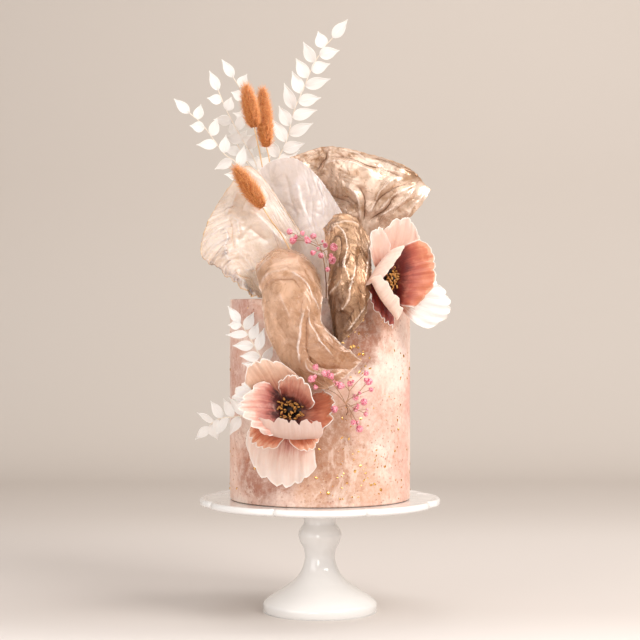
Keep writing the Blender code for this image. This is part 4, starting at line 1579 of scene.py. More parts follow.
    def stamens(self, heart: Material, anther: Material) -> Object:
        """Thin filaments with golden anthers, spread over a low cone.

        Args:
            heart: Material of the filaments.
            anther: Material of the anthers.

        Returns:
            The piece.
        """
        centre, axis = np.array(self.centre, float), unit(self.axis)
        aside = unit(np.cross(axis, (0, 0, 1)))
        upward = np.cross(aside, axis)
        draw = random.Random(len(self.name))
        batch, anthers = Batch(), []
        for index in range(self.stamen_count):
            turn = math.tau * (index * GOLDEN_SHARE + draw.uniform(-0.02, 0.02))
            outward = math.cos(turn) * aside + math.sin(turn) * upward
            spread = self.stamen_spread * draw.uniform(0.25, 1.0)
            rise = draw.uniform(6.5, 11.5)
            start = centre + axis * (self.heart_rise - 1.5) + outward * self.heart_radius * 0.7
            end = centre + axis * (self.heart_rise + rise * 0.62) + outward * spread
            bow = (start + end) / 2 + axis * 1.4
            line = spline_weights(3, 7) @ np.array([start, bow, end])
            batch.add(*tube_shape(line, [0.28] * 7, 5))
            along = unit(outward * draw.uniform(0.2, 1.2) + axis * draw.uniform(0.0, 0.8)
                         + draw.uniform(-1.2, 1.2) * np.cross(outward, axis))
            length = draw.uniform(1.1, 1.9)
            route = [end + along * length * step for step in np.linspace(-1, 1, 6)]
            anthers.append(tube_shape(np.array(route), [0.35, 0.72, 0.86, 0.86, 0.72, 0.35], 7))
        filaments = len(batch.faces)
        for shape in anthers:
            batch.add(*shape)
        piece = batch.piece(f"{self.name}_stamens", SEED_CREASE)
        return dress(piece, heart, anther, second_from=filaments)


@dataclass
class Sprig:
    """A stem with pointed leaves set alternately on both sides, and one leaf at its tip."""

    name: str
    route: tuple
    leaves: int
    leaves_from: float
    length: float = 17.0
    width: float = 8.0
    angle: float = 52.0
    first_side: Hand = Hand.LEFT
    stem_radius: float = 0.9
    tip_share: float = 1.0
    seed: int = 1
    rings: int = 90
    leaf_grid: tuple[int, int] = (15, 9)
    thickness: float = 0.32

    def build(self, leaf: Material, stem: Material) -> None:
        """Build the stem and its leaves as one piece.

        Args:
            leaf: Material of the leaves.
            stem: Material of the stem.
        """
        course = Course.through(self.route)
        steps = np.linspace(0, course.length, self.rings)
        line = np.array([course.at(step) for step in steps])
        radii = np.linspace(self.stem_radius * 0.7, self.stem_radius * 0.4, self.rings)
        batch = Batch()
        batch.add(*tube_shape(line, radii * (1.0 + 0.12 * np.sin(steps * 0.9)), 8))
        stalks = len(batch.faces)
        draw = random.Random(self.seed)
        places = np.linspace(self.leaves_from, 0.95, self.leaves) * course.length
        for number, distance in enumerate(places, 1):
            hand = self.first_side.value * (1 if number % 2 else -1)
            tangent = course.heading(distance)
            side = unit(np.cross(tangent, TOWARDS_VIEWER))
            front = np.cross(side, tangent)
            turn = math.radians(self.angle + 8 * math.sin(2.7 * number))
            direction = math.cos(turn) * tangent + math.sin(turn) * hand * side
            across = math.sin(turn) * tangent - math.cos(turn) * hand * side
            front = unit(front + 0.35 * math.sin(2.1 * number) * across)
            across = unit(across - front * np.dot(front, across))
            taper = 1.0 - 0.3 * max(0.0, distance / course.length - 0.75) / 0.25
            length = self.length * (0.92 + 0.1 * math.sin(1.9 * number)) * taper
            base = course.at(distance) + side * hand * self.stem_radius * 0.3
            self.add_leaf(batch, base, (direction, across, front), length, self.width, draw)
        tangent = unit(course.points[-1] - course.points[-8])
        side = unit(np.cross(tangent, TOWARDS_VIEWER))
        self.add_leaf(batch, course.points[-1], (tangent, side, np.cross(side, tangent)),
                      self.length * self.tip_share, self.width * 0.9, draw)
        piece = batch.piece(f"{self.name}_leaves", SHEET_CREASE)
        report(dress(piece, stem, leaf, second_from=stalks), "leaf", (self.name,))

    def add_leaf(self, batch: Batch, base: Array, axes: tuple[Array, Array, Array],
                 length: float, width: float, draw: random.Random) -> None:
        """Add one leaf: a pointed oval, folded along its midrib and curled at its tip.

        Args:
            batch: Where it goes.
            base: Its foot on the stem.
            axes: Its directions along, across and out of its face.
            length: Its length.
            width: Its width.
            draw: The sprig's random numbers.
        """
        direction, across, front = axes
        u, v = lattice(self.leaf_grid)
        outline = np.sin(math.pi * u ** 0.76) ** 0.95 * (1.0 - 0.28 * u)
        outline = np.maximum(outline * (1.13 - 0.36 * smoothstep(u, 0.6, 0.95)), 0.035)
        curl = draw.uniform(-0.06, 0.12) * length
        bend = draw.uniform(-0.05, 0.05) * length
        lift = 0.16 * width * np.abs(v) ** 1.3 * outline
        lift = lift + curl * (u - 0.35) ** 2 + 0.02 * length * np.sin(4 * u + 3 * v)
        spine = base + direction * (u * length)[:, :, None] + across * (bend * u * u)[:, :, None]
        grid = spine + across * (outline * v * width / 2)[:, :, None] + front * lift[:, :, None]
        batch.add(*sheet_shape(grid, self.thickness))


@dataclass
class Tail:
    """A bunny-tail grass: a thin stem and a soft furry head."""

    name: str
    route: tuple
    head_end: Point
    radius: float = 7.0
    hair: float = 0.0076
    density: float = 3600000.0
    seed: int = 3
    rings: int = 60
    head_rings: int = 28

    def build(self, fur: Material, core: Material, stem: Material) -> None:
        """Build the grass.

        Args:
            fur: Material of the hairs.
            core: Material of the head under them.
            stem: Material of the stem.
        """
        knots = np.array(self.route, float)
        line = spline_weights(len(knots), self.rings) @ knots
        start, end = knots[-1], np.array(self.head_end, float)
        steps = np.linspace(0.0, 0.97, self.head_rings)
        route = np.array([start + (end - start) * step for step in steps])
        inner = self.radius - 2.7
        head = tube_shape(route, [inner * self.girth(step) for step in steps], 28)
        batch = Batch()
        batch.add(*tube_shape(line, [0.55] * self.rings, 8))
        stalks = len(batch.faces)
        batch.add(*head)
        piece = batch.piece(f"{self.name}_stem")
        report(dress(piece, stem, core, second_from=stalks), "tail", (self.name,))
        host = add_piece(f"{self.name}_host", *head)
        report(self.fur(host, unit(end - start), fur), "tail")

    @staticmethod
    def girth(step: float) -> float:
        """The head's thickness along its length: fullest below its middle, drawn out to its tip.

        Args:
            step: Share of the way from the stem to the tip.

        Returns:
            Share of the full thickness.
        """
        widest, low_reach, high_reach = 0.36, 0.42, 0.63
        if step < widest:
            return max(0.02, 1.0 - ((widest - step) / low_reach) ** 2.2) ** 0.62
        return max(0.02, 1.0 - ((step - widest) / high_reach) ** 1.7) ** 0.66

    def fur(self, host: Object, along: Array, fur: Material) -> Object:
        """Fine hairs that lean towards the tip.

        Args:
            host: The head's surface.
            along: Direction from the stem to the tip.
            fur: Their material.

        Returns:
            The piece.
        """
        numbers = {"Density": self.density, "Length": self.hair, "Thickness": 0.00015}
        tree = ScatterTree(f"{self.name}_fur", numbers)
        points = tree.spread(tree.number("Density"), self.seed)
        hair = tree.node("GeometryNodeMeshCone")
        hair.inputs["Vertices"].default_value = 3
        hair.inputs["Side Segments"].default_value = 1
        hair.inputs["Radius Top"].default_value = 0.0
        tree.link(tree.number("Thickness"), hair.inputs["Radius Bottom"])
        tree.link(tree.number("Length"), hair.inputs["Depth"])
        lean = tree.node("ShaderNodeVectorMath", operation="ADD")
        tree.link(points.outputs["Normal"], lean.inputs[0])
        lean.inputs[1].default_value = tuple(along * 1.35)
        stray = tree.node("ShaderNodeVectorMath", operation="ADD")
        tree.link(lean.outputs[0], stray.inputs[0])
        tree.link(tree.random_vector((-0.55, -0.55, -0.55), (0.55, 0.55, 0.55), 4), stray.inputs[1])
        align = tree.node("FunctionNodeAlignEulerToVector", axis="Z")
        tree.link(stray.outputs[0], align.inputs["Vector"])
        sizes = tree.random_vector((0.8, 0.8, 0.6), (1.3, 1.3, 1.15), 6)
        tree.finish(tree.place(points, hair, align.outputs["Rotation"], sizes), fur)
        return tree.apply(f"{self.name}_fur", host, numbers)


@dataclass
class Spray:
    """Small pink blossoms on wiry stalks that fan out from the end of a stem."""

    name: str
    stem: tuple
    blossoms: tuple
    radius: float = 2.9
    cluster: int = 3
    seed: int = 2
    layers: tuple[int, ...] = (5, 5, 4)
    petal_grid: tuple[int, int] = (6, 5)
    thickness: float = 0.14

    def build(self, petal: Material, stalk: Material) -> None:
        """Build the stalks and the blossoms as one piece.

        Args:
            petal: Material of the blossoms.
            stalk: Material of the stalks.
        """
        knots = np.array(self.stem, float)
        hub = knots[-1]
        line = spline_weights(len(knots), 30) @ knots
        draw = random.Random(self.seed)
        batch = Batch()
        batch.add(*tube_shape(line, np.linspace(0.55, 0.4, 30), 8))
        heads = []
        ends = np.array(self.blossoms, float)
        for index, end in enumerate(ends):
            first = index - index % self.cluster
            knot = hub + (ends[first:first + self.cluster].mean(axis=0) - hub) * 0.55
            if index == first:
                sag = np.array([draw.uniform(-1.0, 1.0), draw.uniform(-0.8, 0.8), draw.uniform(0.5, 1.6)])
                bough = spline_weights(3, 14) @ np.array([hub, (hub + knot) / 2 + sag, knot])
                batch.add(*tube_shape(bough, np.linspace(0.36, 0.28, 14), 6))
            sag = np.array([draw.uniform(-0.9, 0.9), draw.uniform(-0.6, 0.6), draw.uniform(0.2, 1.2)])
            path = spline_weights(3, 14) @ np.array([knot, (knot + end) / 2 + sag, end])
            batch.add(*tube_shape(path, np.linspace(0.3, 0.22, 14), 6))
            radius = self.radius * (0.85 + 0.2 * math.sin(2.3 * index))
            heads.append((end, unit(end - path[-3]), radius))
            if index % 2:
                fork = path[8]
                tip = fork + (end - fork) * 0.7 + np.array([draw.uniform(-3, 3), draw.uniform(-1, 1), 2.5])
                branch = spline_weights(3, 8) @ np.array([fork, (fork + tip) / 2 + sag * 0.2, tip])
                batch.add(*tube_shape(branch, np.linspace(0.22, 0.18, 8), 5))
                heads.append((tip, unit(tip - fork), radius * 0.55))
        stalks = len(batch.faces)
        for end, axis, radius in heads:
            self.add_blossom(batch, end, axis, radius, draw)
        piece = batch.piece(f"{self.name}_spray", BUD_CREASE)
        report(dress(piece, stalk, petal, second_from=stalks), "blossom", (self.name,))

    def add_blossom(self, batch: Batch, end: Array, axis: Array, radius: float,
                    draw: random.Random) -> None:
        """Add a half-open bud of overlapping cupped petals.

        Args:
            batch: Where it goes.
            end: The end of its stalk.
            axis: The way it looks.
            radius: Its radius.
            draw: The spray's random numbers.
        """
        aside = unit(np.cross(axis, (0.31, 0.9, 0.2)))
        upward = np.cross(axis, aside)
        u, v = lattice(self.petal_grid)
        for layer, petals in enumerate(self.layers):
            for index in range(petals):
                turn = math.tau * (index / petals) + layer * 0.6 + draw.uniform(-0.2, 0.2)
                outward = math.cos(turn) * aside + math.sin(turn) * upward
                side = np.cross(axis, outward)
                open_out = radius * (1.0 - 0.28 * layer) * draw.uniform(0.85, 1.1)
                bulge = np.sin(math.pi * 0.62 * u) * open_out
                rise = -0.8 * radius + u * radius * (1.75 + 0.12 * layer)
                half = 0.72 * open_out * np.sin(math.pi * (0.12 + 0.72 * u))
                grid = (end + outward * bulge[:, :, None] + axis * rise[:, :, None]
                        + side * (half * v)[:, :, None] - outward * (0.35 * half * v * v)[:, :, None])
                batch.add(*sheet_shape(grid, self.thickness))


@dataclass(frozen=True)
class Lamp:
    """A square soft light: its place, the point it looks at, its size, power and colour."""

    name: str
    place: Point
    target: Point
    size: float
    power: float
    colour: Colour

    def build(self) -> None:
        """Hang the light and aim it."""
        lamp = bpy.data.lights.new(self.name, "AREA")
        lamp.size = self.size
        lamp.energy = self.power
        lamp.color = self.colour
        holder = bpy.data.objects.new(self.name, lamp)
        holder.location = self.place
        aim = unit(np.array(self.target) - np.array(self.place))
        holder.rotation_euler = (math.acos(-aim[2]), 0.0, math.atan2(aim[1], aim[0]) - math.pi / 2)
        bpy.context.scene.collection.objects.link(holder)


@dataclass
class Studio:
    """The sweep, the lights and the camera."""

    distance: float = 1.393
    height: float = 0.2454
    lens: float = 92.8
    air: Colour = (1.0, 0.975, 0.95)
    air_strength: float = 0.58
    lamps: tuple[Lamp, ...] = (
        Lamp("key_light", (0.95, -1.05, 1.15), (0.0, 0.0, 0.24), 0.8, 22.0, (1.0, 0.985, 0.965)),
        Lamp("fill_light", (-1.3, -1.1, 0.7), (0.0, 0.0, 0.25), 1.2, 9.0, (1.0, 0.98, 0.97)),
        Lamp("top_light", (-0.1, 0.25, 1.5), (0.0, 0.0, 0.2), 0.9, 5.0, (1.0, 0.99, 0.98)),
        Lamp("sweep_light", (0.9, 0.1, 1.3), (0.1, 1.4, 0.5), 0.8, 9.0, (1.0, 0.98, 0.965)),
        Lamp("low_light", (-0.35, -1.5, 0.28), (0.0, 0.0, 0.15), 0.4, 2.6, (1.0, 0.99, 0.98)),
    )

    def build(self, sweep: Material) -> None:
        """Set the stage.

        Args:
            sweep: Material of the backdrop.
        """
        self.backdrop(sweep)
        self.camera()
        for lamp in self.lamps:
            lamp.build()
        world = bpy.data.worlds.new("studio_air")
        world.use_nodes = True
        air = world.node_tree.nodes["Background"]
        air.inputs["Color"].default_value = (*self.air, 1.0)
        air.inputs["Strength"].default_value = self.air_strength
        bpy.context.scene.world = world
        bpy.context.scene.view_settings.view_transform = "Standard"

    @staticmethod
    def backdrop(sweep: Material) -> None:
        """A floor that curves up into a wall.

        Args:
            sweep: Its material.
        """
        reach, bend = 1.1, 0.5
        profile = [(-2.2, 0.0), (reach, 0.0)]
        for step in np.linspace(0, math.pi / 2, 14)[1:]:
            profile.append((reach + bend * math.sin(step), bend * (1 - math.cos(step))))
        profile.append((reach + bend, 2.6))
        points = [(x, y, z) for y, z in profile for x in (-2.6, 2.6)]
        faces = [(2 * i, 2 * i + 1, 2 * i + 3, 2 * i + 2) for i in range(len(profile) - 1)]
        floor = add_piece("studio_sweep", np.array(points) / MM, faces)
        dress(floor, sweep)

    def camera(self) -> None:
        """A level camera in front of the cake."""
        lens = bpy.data.cameras.new("camera")
        lens.lens = self.lens
        lens.sensor_width = 36.0
        lens.clip_start = 0.01
        camera = bpy.data.objects.new("camera", lens)
        camera.location = (0.0, -self.distance, self.height)
        camera.rotation_euler = (math.pi / 2, 0.0, 0.0)
        bpy.context.scene.collection.objects.link(camera)
        bpy.context.scene.camera = camera

class Wash(Enum):
    """The papers of the sails."""

    PEARL = Paper("pearl_wafer_paper", (0.77, 0.63, 0.57), (0.71, 0.55, 0.48), (0.92, 0.85, 0.80),
                  (0.60, 0.40, 0.32), 0.0, 0.32, 0.86, 0.4, 0.10)
    SHELL = Paper("shell_wafer_paper", (0.80, 0.61, 0.50), (0.74, 0.50, 0.38), (0.66, 0.33, 0.14),
                  (0.62, 0.31, 0.16), 0.0, 0.27, 0.88, 0.45, 0.33)
    CHAMPAGNE = Paper("champagne_wafer_paper", (0.63, 0.365, 0.235), (0.42, 0.21, 0.11), (0.90, 0.73, 0.61),
                      (0.24, 0.085, 0.027), 0.05, 0.28, 0.96, 0.15, 0.22)
    BRONZE = Paper("bronze_wafer_paper", (0.66, 0.39, 0.225), (0.22, 0.105, 0.045), (0.74, 0.52, 0.37),
                   (0.09, 0.032, 0.012), 0.4, 0.28, 1.0, 0.0, 0.4)
    GOLD = Paper("gold_wafer_paper", (0.86, 0.66, 0.53), (0.40, 0.225, 0.12), (0.46, 0.23, 0.09),
                 (0.15, 0.055, 0.016), 0.4, 0.28, 1.0, 0.0, 0.36)


class Tone(Enum):
    """The tinted papers of the petals."""

    CREAM = PetalPaper("cream_petal", (0.20, 0.04, 0.03), (0.50, 0.22, 0.15), (0.82, 0.71, 0.65),
                       (0.88, 0.81, 0.76), (0.78, 0.60, 0.51), (0.15, 0.3, 0.55))
    LOW = PetalPaper("low_petal", (0.30, 0.06, 0.04), (0.58, 0.27, 0.21), (0.73, 0.49, 0.405),
                     (0.76, 0.595, 0.52), (0.78, 0.60, 0.51), (0.3, 0.46, 0.66))
    PEACH = PetalPaper("peach_petal", (0.05, 0.006, 0.005), (0.32, 0.105, 0.065), (0.51, 0.275, 0.185),
                       (0.62, 0.385, 0.285), (0.78, 0.60, 0.51), (0.26, 0.42, 0.66))
    ROSE = PetalPaper("rose_petal", (0.04, 0.004, 0.004), (0.36, 0.09, 0.07), (0.68, 0.33, 0.26),
                      (0.80, 0.58, 0.50), (0.78, 0.58, 0.50), (0.36, 0.54, 0.8))
    DUSTY = PetalPaper("dusty_petal", (0.04, 0.004, 0.004), (0.28, 0.07, 0.05), (0.54, 0.23, 0.16),
                       (0.66, 0.38, 0.29), (0.78, 0.60, 0.52), (0.3, 0.5, 0.8))
    TERRACOTTA = PetalPaper("terracotta_petal", (0.10, 0.012, 0.008), (0.36, 0.08, 0.042),
                            (0.60, 0.185, 0.095), (0.70, 0.34, 0.22), (0.76, 0.52, 0.41), (0.25, 0.5, 0.85))
    SALMON = PetalPaper("salmon_petal", (0.10, 0.008, 0.006), (0.33, 0.055, 0.03), (0.54, 0.16, 0.08),
                        (0.66, 0.29, 0.18), (0.74, 0.50, 0.40), (0.34, 0.55, 0.88))
    BLUSH = PetalPaper("blush_petal", (0.24, 0.05, 0.04), (0.58, 0.26, 0.19), (0.67, 0.385, 0.30),
                       (0.71, 0.465, 0.385), (0.78, 0.60, 0.52), (0.15, 0.35, 0.6))
    # Painted shade: the cup's back is darker than in the top poppy's copy, for the shade on the front poppy's
    # cup.
    CUP_IN_SHADE = PetalPaper("cup_petal_in_shade", (0.06, 0.006, 0.005), (0.30, 0.06, 0.045), (0.46, 0.14, 0.095),
                     (0.60, 0.31, 0.24), (0.48, 0.25, 0.19), (0.3, 0.5, 0.8), (0.61, 0.43, 0.365))
    # Painted light: the same paper as the cup above with a lighter back, for the light on the top poppy's
    # cup.
    SHELL = PetalPaper("shell_petal_in_light", (0.06, 0.006, 0.005), (0.30, 0.06, 0.045), (0.46, 0.14, 0.095),
                       (0.60, 0.31, 0.24), (0.55, 0.30, 0.23), (0.3, 0.5, 0.8), (0.92, 0.67, 0.55))
    # Painted shade: a near-black inside over the petal's own dark red, for the top poppy's back petal that
    # sits in shade.
    MAROON_IN_SHADE = PetalPaper("maroon_petal_in_shade", (0.05, 0.004, 0.004), (0.10, 0.008, 0.006), (0.16, 0.014, 0.008),
                        (0.28, 0.05, 0.03), (0.74, 0.50, 0.42), (0.3, 0.5, 0.9))


FRONT_POPPY = Poppy("front_poppy", (-23, -88, 172), (0.0, -0.94, 0.34), (
    Petal("low", (-8, 2, -27), (-12, 6, -61), 60, 0, 2.0, 1.2, Tone.LOW, shoulder=0.36, base_share=0.3,
          lobes=6, ragged=0.05, seed=1),
    Petal("left_back", (-20, 6, 10), (-46, 7, 20), 38, 0, 2.0, 1.2, Tone.CREAM, shoulder=0.3, seed=2),
    Petal("top", (-12, -8, 22), (-24, -17, 44), 42, 1, 1.5, 0.9, Tone.PEACH, (1.0, 0.1, 0.12), 0.34,
          lobes=4, seed=3),
    Petal("low_left", (-15, -6, -11), (-31, -12, -23), 30, 2, 1.5, 0.9, Tone.TERRACOTTA, shoulder=0.3,
          seed=4),
    Petal("right", (20, -4, 0), (37, -11, 5), 36, 2, 1.5, 1.1, Tone.TERRACOTTA, shoulder=0.34, lobes=5,
          curl=-2.5, seed=5),
    Petal("low_right", (9, -13, -14), (17, -21, -28), 26, 3, 1.5, 1.0, Tone.TERRACOTTA, shoulder=0.34,
          lobes=4, seed=6),
    Petal("inner_left", (-17, -17, 4), (-40, -26, 5), 44, 4, 3.5, 1.1, Tone.ROSE, shoulder=0.32,
          base_share=0.3, lobes=7, ragged=0.07, seed=7),
    Petal("inner_top", (5, -15, 15), (8, -24, 31), 32, 4, 3.0, 0.9, Tone.DUSTY, shoulder=0.3,
          base_share=0.3, lobes=5, curl=-1.5, seed=8),
    Petal("inner_cup", (0, -24, -19), (-1, -31, -2), 51, 5, 6.0, 0.6, Tone.CUP_IN_SHADE, (1.0, 0.0, -0.09), 0.0, 0.2,
          lobes=4.6, ragged=0.07, curl=0.5, pleat=0.08, seed=9),
))
TOP_POPPY = Poppy("top_poppy", (54, -62, 278), (0.62, -0.78, 0.1), (
    Petal("low_back", (-5, -9, -17), (-4, -15, -30), 36, 1, 2.0, 0.8, Tone.MAROON_IN_SHADE, (0.6, 0.1, -0.78),
          seed=11),
    Petal("top_left", (-5, -3, 22), (-7, -4, 43), 24, 0, 1.5, 0.8, Tone.BLUSH, shoulder=0.34, lobes=3,
          seed=12),
    Petal("right", (19, -8, 4), (43, 6, 8), 54, 3, 3.0, 0.9, Tone.SALMON, (0.05, 0.1, 1.0), 0.34, 0.5,
          ragged=0.06, seed=13),
    Petal("top", (9, 7, 27), (15, 9, 53), 36, 1, 2.0, 1.0, Tone.BLUSH, (1.0, 0.2, -0.1), 0.36, lobes=4,
          seed=14),
    Petal("low_right", (24, 6, -14), (53, 10, -18), 50, 1, 2.5, 1.1, Tone.CREAM, (0.15, 0.1, -0.98), 0.34,
          0.3, seed=15),
    Petal("inner_left", (-10, -15, 8), (8, -24, 15), 34, 4, 2.0, 0.5, Tone.SHELL, (0.55, 0.1, 0.83), 0.08,
          0.5, lobes=2, ragged=0.025, curl=0.5, pleat=0.08, seed=16),
    Petal("inner_low", (-5, -23, -17), (4, -31, -8), 44, 5, 3.0, 0.6, Tone.SHELL, (0.55, -0.05, -0.83),
          0.05, 0.5, pinch=0.25, lobes=3, ragged=0.035, curl=0.5, pleat=0.08, seed=17),
), heart_rise=3.0, stamen_spread=9.0)

